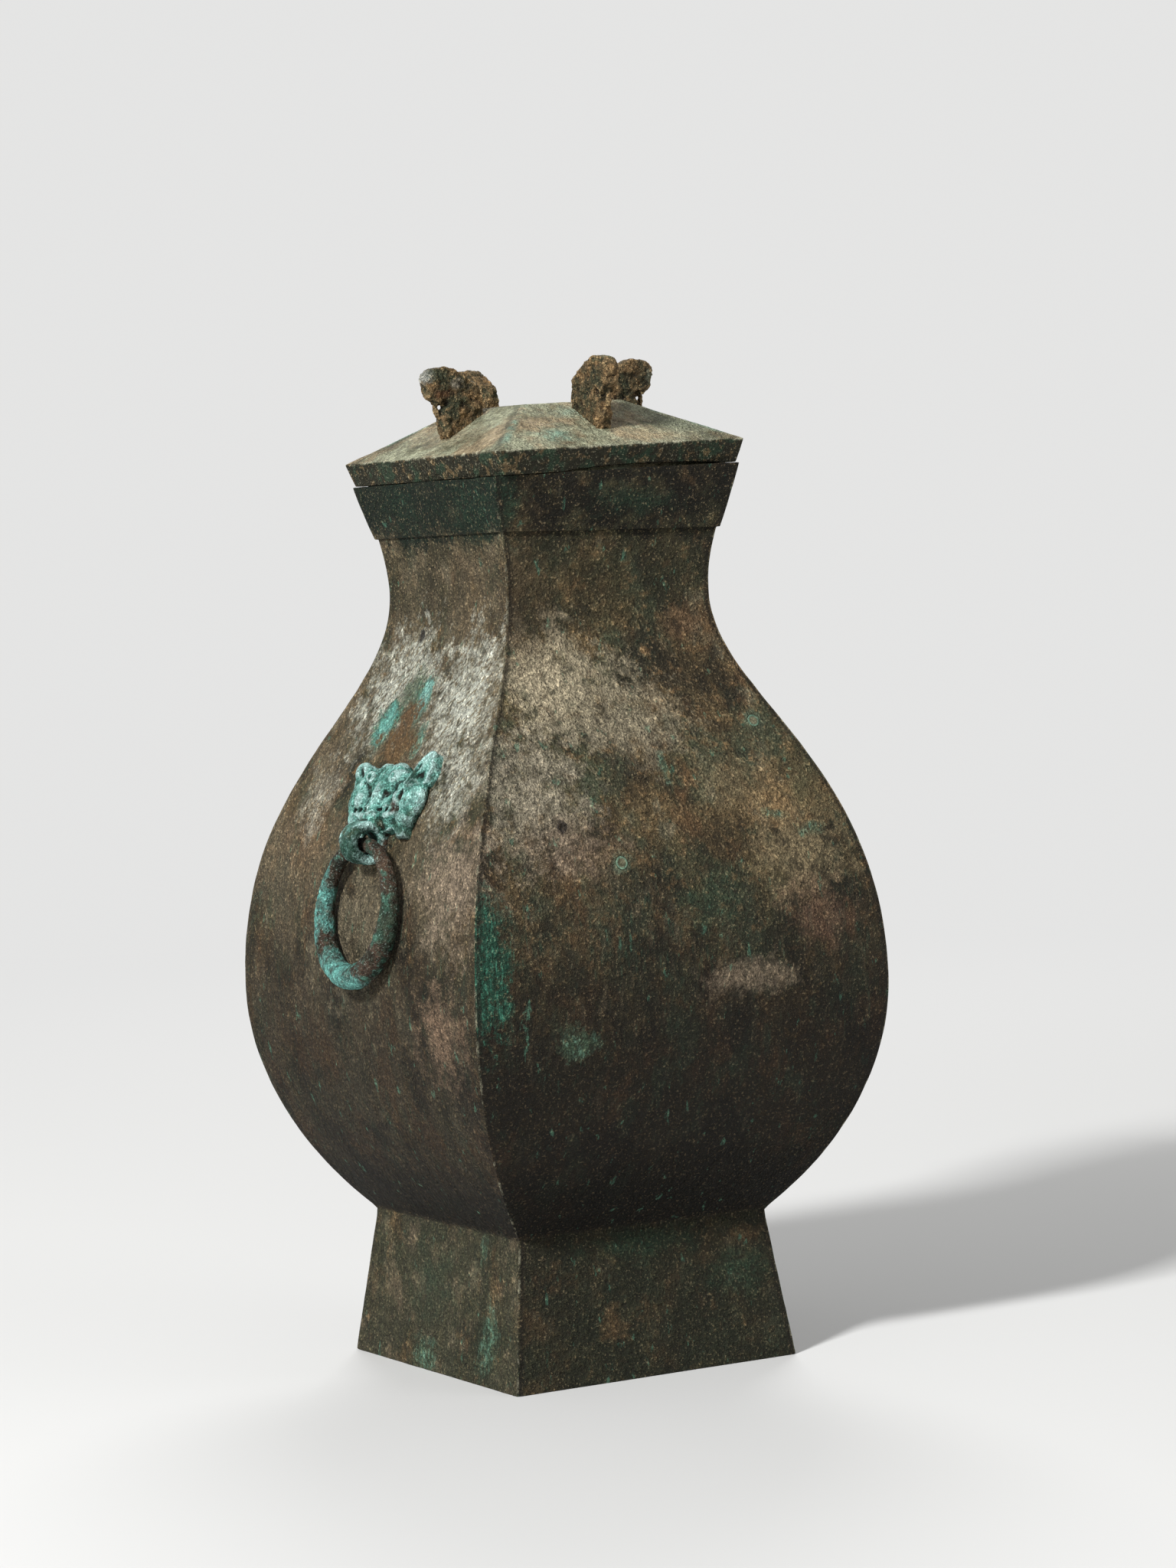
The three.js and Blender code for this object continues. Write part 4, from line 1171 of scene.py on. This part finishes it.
bird = melt([slab] + [clay_ball(*lump) for lump in BIRD_LUMPS],
            [clay_ball(*hollow) for hollow in BIRD_HOLLOWS], "finial_model", CLAY_VOXEL, smooth=5)
print("bird:", len(bird.data.polygons), "faces,", [round(v / MM, 1) for v in bird.dimensions], "mm")

# %% [markdown]
# The bird is copied to the four slopes, each copy a little off the middle of its slope, and each turns
# and tilts with the lid. The crust is put on after that: its clouds are fixed in space, so that no
# two birds come out alike.

# %% Four birds on their slopes
BIRDS = {"left": (180, -1.5), "front": (270, -0.4), "right": (0, -1.5), "back": (90, 4.3)}
for side, (turn, slide) in BIRDS.items():
    place = turned_round(turn) @ Matrix.Translation((FINIAL_OUT * MM, slide * MM, FINIAL_Z * MM))
    copy = copied(bird, f"finial_{side}_bird", place)
    set_on_mouth(copy)
    roughen(copy, grain_mm=3.4, height_mm=1.5, depth=1)
    roughen(copy, grain_mm=1.4, height_mm=0.9, depth=1)
    note_hollows(copy, rounds=30)
    finish_piece(copy, finial_material, "lid", "finial_bronze", f"finial_{side}", angle=80)
bpy.data.objects.remove(bird)

# %% [markdown]
# The mask is covered in pale turquoise salt, thick enough to blur the carving. It is darker green in
# the hollows and near black-brown in the deepest, partly patina and partly painted shade. It is darker
# green on the loop, palest where the relief stands out, and brown where crust broke off.

# %% Finish of the masks


def both_handles(rows):
    """The stains of the left handle, and the same turned half round the vessel for the right one."""
    return rows + [((-x, -y, z), *rest) for (x, y, z), *rest in rows]


salts = Finish("turquoise crust", grain_mm=1.0, grit_mm=0.7, lump_mm=0.8)
tree = salts.tree
salts.colour = colour_ramp(tree, salts.cloud(8), [
    (0.34, (40, 76, 64)), (0.44, (82, 140, 126)), (0.54, (128, 190, 178)), (0.68, (178, 224, 214)),
])
hollow = salts.attribute("hollow")
salts.patches(4.5, 0.585, (74, 102, 82), 0.7, softness=0.035)
# Dark green in the hollows and black-brown in the deepest: partly patina, partly painted shade.
salts.layer(salts.times(ramp(tree, hollow, 0.0, 0.65), 0.95), (20, 42, 34))
salts.layer(salts.times(ramp(tree, hollow, 0.5, 1.1), 0.92), (28, 21, 15))
salts.layer(salts.times(ramp(tree, hollow, -0.2, -0.9), 0.8), (196, 232, 226))
MASK_STAINS = [
    ((-112, -13, 240), (10, 14, 12), (46, 78, 60), 1.0),
    ((-100, -29, 256), (6, 5, 5), (84, 56, 46), 0.95),
    ((-113, -13, 237), (12, 15, 11), (34, 68, 54), 1.0),
    ((-100, -20, 238), (5, 6, 7), (84, 68, 54), 1.0), ((-98, -40, 246), (9, 5, 10), (60, 84, 68), 0.8),
    ((-98, -34, 240), (8, 10, 7), (56, 56, 40), 0.9), ((-96, -34, 249), (8, 8, 8), (66, 112, 98), 0.6),
    ((-112, -10, 244), (5, 8, 4), (112, 98, 68), 0.6),
    ((-102, -12, 249), (6, 18, 2.5), (92, 92, 70), 0.6),
]
salts.stains(both_handles(MASK_STAINS), 0.7)
mask_material = salts.done((24, 32, 25), (206, 228, 220), shade=(0.54, 1.34), grains=0.2)

# %% [markdown]
# The mask is the face of a beast that holds the ring in its nose: two ears that point up and out,
# brows over round eyes, cheeks, the scrolls of its jaw, and a nose that bends out into a loop. It is
# modelled flat, x across, y up and z out of the wall, from balls with a middle, radii and a turn each.
# What both halves of the face share is given once and mirrored. One ear is worn down, and two pits
# lie beside one eye.

# %% Shapes of the face
MASK_ROLL = 3
BROW_TO_CHIN = [(26.5, 3), (24, -4), (22.5, -10), (24.5, -17.5), (20, -17.5), (13, -13.5), (6, -15.5)]
TALL_EAR = [(6, 16.4), (11, 14), (15.5, 10), (20, 14), (26, 20.8), (30, 21), (33, 14), (31, 8)]
WORN_EAR = [(6, 15.6), (12, 15), (17, 15), (20.5, 16.4), (25.5, 17), (30, 14.5), (32, 10), (31, 5)]
MASK_BACK, MASK_FRONT = -2.6, 4
FACE = [
    ((0, 7.5, 3.4), (17, 8, 5)), ((-4.5, 13.4, 3.4), (5.4, 3.4, 3.6)),
    ((6, 13.2, 3.4), (5.6, 3.8, 3.8)), ((0, -5, 3), (22, 9, 5)), ((0, -1, 6), (4, 10, 4.6)),
    ((0, -10.5, 6.4), (6.6, 5.6, 5)),
]
EARS = [((24.4, 14, 3.2), (10, 4, 3), 48), ((-25, 12, 3.6), (7, 5.4, 3.6), -40)]
EYE_PITS = [((13.4, -2.6, 9.6), (2.2, 2.4, 2.6)), ((19.4, 0.6, 9), (2, 3, 2.8))]
HALF_FACE = [
    ((20, 1, 2.6), (10.5, 12, 5.6), 0), ((10, 9, 6), (6.4, 3.6, 3.9), 14),
    ((16.5, -0.8, 4.6), (5, 5, 4.8), 0), ((20.6, -7.4, 2.6), (7, 6, 4.6), -50),
    ((12, -8, 4.8), (8.4, 2.5, 3.4), 10), ((20, -13.6, 1.2), (5.4, 3.2, 2.6), 34),
]
HALF_HOLLOWS = [
    ((24.8, 13.8, 7.4), (6.4, 1.6, 2.4), 48), ((12.4, 4.8, 9.4), (7.6, 1.2, 2.6), 12),
    ((10.4, 9.2, 10.8), (2, 1.5, 2), 0), ((18.2, 9.6, 8), (1.3, 4.4, 2.8), -24),
    ((9.8, -1, 9), (1.2, 4.4, 3), 10),
] + [((x, -5.8, 8.6 - 0.06 * x), (1.8, 1.3, 2.8), 0) for x in (4.6, 9.4, 14, 18.4)]
lump_count = len(FACE + EARS) + 2 * len(HALF_FACE)
hollow_count = len(EYE_PITS) + 2 * len(HALF_HOLLOWS)
print("face:", lump_count, "lumps,", hollow_count, "hollows")

# %% [markdown]
# The loop is a torus whose round bar is drawn out to a broad flat band. It is melted with the face
# into one skin, and a bore keeps its hole open for the ring.

# %% One mask in clay
LOOP_SQUARENESS = 0.45


def both_halves(rows):
    """Balls for one half of the face, then the same mirrored for the other half."""
    return [clay_ball((side * x, y, z), radii, side * turn, "Z")
            for side in (1, -1) for (x, y, z), radii, turn in rows]


def squared(share):
    """Draws a round bar's points towards its corners; share runs from -1 to 1 across the bar."""
    return np.sign(share) * np.abs(share) ** LOOP_SQUARENESS


outline = [(0, 15.5)] + TALL_EAR + BROW_TO_CHIN + [(-x, y) for x, y in (WORN_EAR + BROW_TO_CHIN)[::-1]]
mask_parts = [clay_slab([(x, y, MASK_BACK) for x, y in outline], (0, 0, MASK_FRONT - MASK_BACK))]
mask_parts += [clay_ball(centre, radii) for centre, radii in FACE]
mask_parts += [clay_ball(centre, radii, turn, "Z") for centre, radii, turn in EARS]
mask_parts += both_halves(HALF_FACE)
mask_hollows = [clay_ball(*pit) for pit in EYE_PITS] + both_halves(HALF_HOLLOWS)
for part in mask_parts + mask_hollows:
    part.rotation_euler.z = math.radians(MASK_ROLL)
    keep_place_in_mesh(part)
deselect_all()
bpy.ops.mesh.primitive_torus_add(
    location=(0, -LOOP_DROP * MM, LOOP_STANDOFF * MM), rotation=(0, math.radians(90), 0),
    major_radius=(LOOP_HOLE + LOOP_THICKNESS / 2) * MM, minor_radius=LOOP_THICKNESS / 2 * MM,
    major_segments=48, minor_segments=16,
)
loop = bpy.context.object
across = points_of(loop) / MM
bent = np.hypot(across[:, 0], across[:, 1])
thick = (bent - LOOP_HOLE - LOOP_THICKNESS / 2) / (LOOP_THICKNESS / 2)
drawn = squared(thick) * LOOP_THICKNESS / 2 + LOOP_HOLE + LOOP_THICKNESS / 2
across[:, :2] *= (drawn / bent)[:, None]
across[:, 2] = squared(across[:, 2] / (LOOP_THICKNESS / 2)) * LOOP_WIDTH / 2
set_points(loop, across * MM)
keep_place_in_mesh(loop)
bridge = clay_ball((0, -15.4, 4.6), (5.6, 4.6, 5.6))
bore = clay_ball((0, -LOOP_DROP, LOOP_STANDOFF), (40, LOOP_HOLE, LOOP_HOLE))
mask = melt(mask_parts + [loop, bridge], mask_hollows + [bore], "mask_model", CLAY_VOXEL, smooth=4)
print("mask:", len(mask.data.polygons), "faces,", [round(v / MM, 1) for v in mask.dimensions], "mm")

# %% [markdown]
# The face was modelled flat. Its back is cut off level. The loop's flat back lies so near to that cut
# that some faces come out twice, and a validation takes the doubles away before the mask is copied. A
# matrix then stands it on the leaning wall of the shoulder. The second mask is the first turned half
# round the vessel's axis, because the two handles face away from each other. The crust comes last, on
# each in its place.

# %% Lay the masks on the wall
HANDLES = (("left", 0), ("right", 180))
BACK_CUT = -2


def on_handle_wall(lean, place):
    """The frame of the leaning handle wall: x across it, y up it, z out of it."""
    return Matrix((
        (0, math.sin(lean), -math.cos(lean), place.x * MM), (-1, 0, 0, place.y * MM),
        (0, math.cos(lean), math.sin(lean), place.z * MM), (0, 0, 0, 1),
    ))


pick(mask)
bpy.ops.object.mode_set(mode="EDIT")
bpy.ops.mesh.select_all(action="SELECT")
bpy.ops.mesh.bisect(
    plane_co=(0, 0, BACK_CUT * MM), plane_no=(0, 0, 1), clear_inner=True, use_fill=True,
)
bpy.ops.object.mode_set(mode="OBJECT")
faces_when_cut = len(mask.data.polygons)
mask.data.validate()
print("doubled faces taken out of the mask:", faces_when_cut - len(mask.data.polygons))
for side, turn in HANDLES:
    place = turned_round(turn) @ on_handle_wall(MASK_LEAN, MASK_PLACE)
    copy = copied(mask, f"mask_{side}_face", place)
    roughen(copy, grain_mm=5, height_mm=0.9, depth=1)
    roughen(copy, grain_mm=1.6, height_mm=0.45, depth=1)
    note_hollows(copy, rounds=36)
    finish_piece(copy, mask_material, "vessel", "mask_bronze", f"mask_{side}", angle=80)
bpy.data.objects.remove(mask)

# %% [markdown]
# The rings are reddish brown and dark green, with a turquoise crust thickest on the side where each lay
# in the ground. The metal's colours are clouds as before, and the crust is a few stains in its places.

# %% Finish of the rings
bar = Finish("ring crust", grain_mm=1.0, grit_mm=0.7, lump_mm=0.9)
tree = bar.tree
bar.colour = colour_ramp(tree, bar.cloud(9), [
    (0.34, (36, 34, 26)), (0.44, (56, 52, 40)), (0.52, (86, 66, 54)), (0.6, (56, 80, 66)),
    (0.7, (88, 132, 114)),
])
bar.patches(7, 0.6, (92, 146, 126), strength=0.7, softness=0.04)
RING_STAINS = [
    ((-114, 20, 208), (14, 13, 46), (108, 172, 162), 1.0),
    ((-118, -6, 182), (12, 32, 12), (112, 178, 168), 1.0),
    ((-106, -36, 226), (9, 9, 22), (96, 76, 60), 0.8), ((-112, -44, 210), (7, 6, 16), (58, 80, 64), 0.7),
    ((-113, 24, 212), (5, 5, 30), (172, 222, 214), 0.7), ((-112, -14, 235), (8, 10, 5), (96, 84, 62), 0.8),
]
bar.stains(both_handles(RING_STAINS), 0.6)
hollow = bar.attribute("hollow")
# Darker in the hollows: partly dark patina, partly painted shade.
bar.layer(bar.times(ramp(tree, hollow, 0.3, 1.2), 0.75), (38, 42, 32))
bar.patches(4, 0.58, (44, 36, 29), 0.75, softness=0.02)
ring_material = bar.done((20, 22, 17), (176, 204, 194), shade=(0.56, 1.34))

# %% [markdown]
# Each ring is a plain bar bent round, worn thin where it hangs and thick at its foot. A torus gives
# the bend, and its points are then drawn in or out to the bar's own thickness. The same frame as the
# masks' lays it in its loop, leaning as a ring does that rests against the belly.

# %% Two rings
deselect_all()
bpy.ops.mesh.primitive_torus_add(
    major_segments=160, minor_segments=32, major_radius=RING_RADIUS * MM, minor_radius=MM,
)
ring_model = bpy.context.object
points = points_of(ring_model) / MM
turn = np.arctan2(points[:, 0], points[:, 1])
centre = np.stack([np.sin(turn), np.cos(turn), 0 * turn], 1)
centre *= (RING_RADIUS - RING_TOP_WEAR * (1 + np.cos(turn)) / 2)[:, None]
thickness = RING_TOP_THICKNESS + (RING_BOTTOM_THICKNESS - RING_TOP_THICKNESS) * (1 - np.cos(turn)) / 2
round_bar = np.stack([np.sin(turn), np.cos(turn), 0 * turn], 1) * RING_RADIUS
points = centre + (points - round_bar) * (thickness / 2)[:, None] - [0, RING_RADIUS, 0]
set_points(ring_model, points * MM)
for side, turn in HANDLES:
    place = turned_round(turn) @ on_handle_wall(RING_TILT, RING_PIVOT)
    copy = copied(ring_model, f"ring_{side}_bar", place)
    apply_modifier(copy, "SUBSURF", levels=1, render_levels=1)
    roughen(copy, grain_mm=7, height_mm=0.8, depth=1)
    roughen(copy, grain_mm=2, height_mm=0.6, depth=1)
    note_hollows(copy, rounds=30)
    finish_piece(copy, ring_material, f"ring_{side}", "ring_bronze", f"ring_{side}", angle=80)
bpy.data.objects.remove(ring_model)

# %% [markdown]
# Chaplets are small pads that held the mould's core off its outside while the bronze was poured. They
# stayed in the wall and corroded apart from it, so each shows as a round mark with a greenish rim. How
# far a point lies from the pad's middle is an attribute of its mesh, which gives the rim its colour.

# %% Finish of the chaplets
pads = Finish("chaplet pad", grain_mm=0.7, grit_mm=0.25, lump_mm=0.4)
tree = pads.tree
pads.colour = colour_ramp(tree, pads.cloud(3), [(0.4, (84, 84, 64)), (0.55, (122, 118, 94))])
rim = pads.attribute("rim")
pads.layer(pads.times(ramp(tree, rim, 0.55, 0.8), 0.8), (112, 146, 124))
pads.layer(pads.times(ramp(tree, rim, 0.93, 1.0), 0.9), (44, 46, 34))
pad_material = pads.done((44, 40, 30), (170, 176, 152), shade=(0.7, 1.25))

# %% [markdown]
# Each pad is a short bar through the wall. Its edges are bevelled, and its face is inset four times,
# each time a little up or down, which leaves a raised rim round a shallow dish. It leans with the wall.

# %% Four chaplets
PAD_BEVEL = 0.3
PAD_INSETS = [(0.5, 0.1), (0.4, -0.25), (0.5, -0.1), (0.6, 0.05)]
for node, middle, turn, lean in chaplets:
    deselect_all()
    bpy.ops.mesh.primitive_cylinder_add(
        vertices=40, radius=PAD_RADIUS * MM, depth=PAD_DEPTH * MM, location=(0, 0, 0),
    )
    pad = bpy.context.object
    pad.name = node + "_pad"
    bpy.ops.object.mode_set(mode="EDIT")
    bpy.ops.mesh.select_mode(type="FACE")
    bpy.ops.mesh.select_all(action="SELECT")
    bpy.ops.mesh.bevel(offset=PAD_BEVEL * MM, segments=2, affect="EDGES")
    bpy.ops.object.mode_set(mode="OBJECT")
    for face in pad.data.polygons:
        face.select = face.normal.z > 0.99
    bpy.ops.object.mode_set(mode="EDIT")
    for width, lift in PAD_INSETS:
        bpy.ops.mesh.inset(thickness=width * MM)
        bpy.ops.transform.translate(value=(0, 0, lift * MM))
    bpy.ops.object.mode_set(mode="OBJECT")
    apply_modifier(pad, "SUBSURF", levels=2, render_levels=2)
    points = points_of(pad) / MM
    rim = pad.data.attributes.new("rim", "FLOAT", "POINT")
    rim.data.foreach_set("value", np.hypot(points[:, 0], points[:, 1]) / PAD_RADIUS)
    pad.rotation_euler = (math.radians(90) - lean, 0, turn)
    pad.location = middle
    keep_place_in_mesh(pad)
    roughen(pad, grain_mm=1.6, height_mm=0.25, depth=1)
    finish_piece(pad, pad_material, "vessel", "chaplet_bronze", node, angle=60)

# %% [markdown]
# The stage is a pale floor that fades into a pale studio, so that the vessel is seen plainly from every
# side. A small bright lamp stands four metres off at the upper left, where the photographer's stood, so
# that its light rakes over the crust. A large weak one fills the right, and one behind lights the back.
# The world gives the rest.

# %% Stage and light
BACKGROUND, WORLD_GREY = (0.78, 0.78, 0.775, 1), (0.22, 0.22, 0.22, 1)
FLOOR_COLOUR, FLOOR_RADIUS = (0.7, 0.7, 0.69, 1), 9
FADE_FROM, FADE_TO = 0.5, 2.2
deselect_all()
bpy.ops.mesh.primitive_circle_add(
    vertices=96, radius=FLOOR_RADIUS, fill_type="NGON", location=(0, 0, 0),
)
floor = bpy.context.object
floor.name = "studio_floor"
floor_material = bpy.data.materials.new("pale floor")
floor_material.use_nodes = True
tree = floor_material.node_tree
shader = tree.nodes["Principled BSDF"]
shader.inputs["Base Color"].default_value = FLOOR_COLOUR
shader.inputs["Roughness"].default_value = 0.9
shader.inputs["Specular IOR Level"].default_value = 0.2
glow = add_node(tree, "ShaderNodeEmission", {"Color": BACKGROUND, "Strength": 1.0})
distance = add_node(
    tree, "ShaderNodeVectorMath", {0: add_node(tree, "ShaderNodeTexCoord").outputs["Object"]},
    operation="LENGTH",
)
seen = math_node(
    tree, "MULTIPLY", add_node(tree, "ShaderNodeLightPath").outputs["Is Camera Ray"],
    ramp(tree, distance.outputs["Value"], FADE_FROM, FADE_TO),
)
mixed = add_node(tree, "ShaderNodeMixShader", {0: seen, 1: shader.outputs[0], 2: glow.outputs[0]})
tree.links.new(mixed.outputs[0], tree.nodes["Material Output"].inputs["Surface"])
floor.data.materials.append(floor_material)

world = bpy.data.worlds.new("studio")
bpy.context.scene.world = world
world.use_nodes = True
tree = world.node_tree
background = tree.nodes["Background"]
paths = add_node(tree, "ShaderNodeLightPath").outputs
seen = math_node(tree, "MAXIMUM", paths["Is Camera Ray"], paths["Is Glossy Ray"])
tree.links.new(blend(tree, seen, WORLD_GREY, BACKGROUND), background.inputs["Color"])
background.inputs["Strength"].default_value = 1.0


def lamp(name, place, aim_height, size, watts):
    """A square lamp, in metres and watts, that looks at a height on the vessel's axis."""
    data = bpy.data.lights.new(name, "AREA")
    data.shape = "SQUARE"
    data.size = size
    data.energy = watts
    made = bpy.data.objects.new(name, data)
    bpy.context.scene.collection.objects.link(made)
    made.location = place
    line = Vector((0, 0, aim_height)) - Vector(place)
    made.rotation_euler = line.to_track_quat("-Z", "Y").to_euler()


LAMPS = [
    ("key", (-3.1, -1.38, 2.4), 0.24, 0.5, 215), ("fill", (2.2, -3.1, 1.7), 0.2, 2.0, 18),
    ("back", (1.7, 2.6, 2.2), 0.2, 1.6, 62),
]
for row in LAMPS:
    lamp(*row)
print("stage ready, lamps:", len(LAMPS))
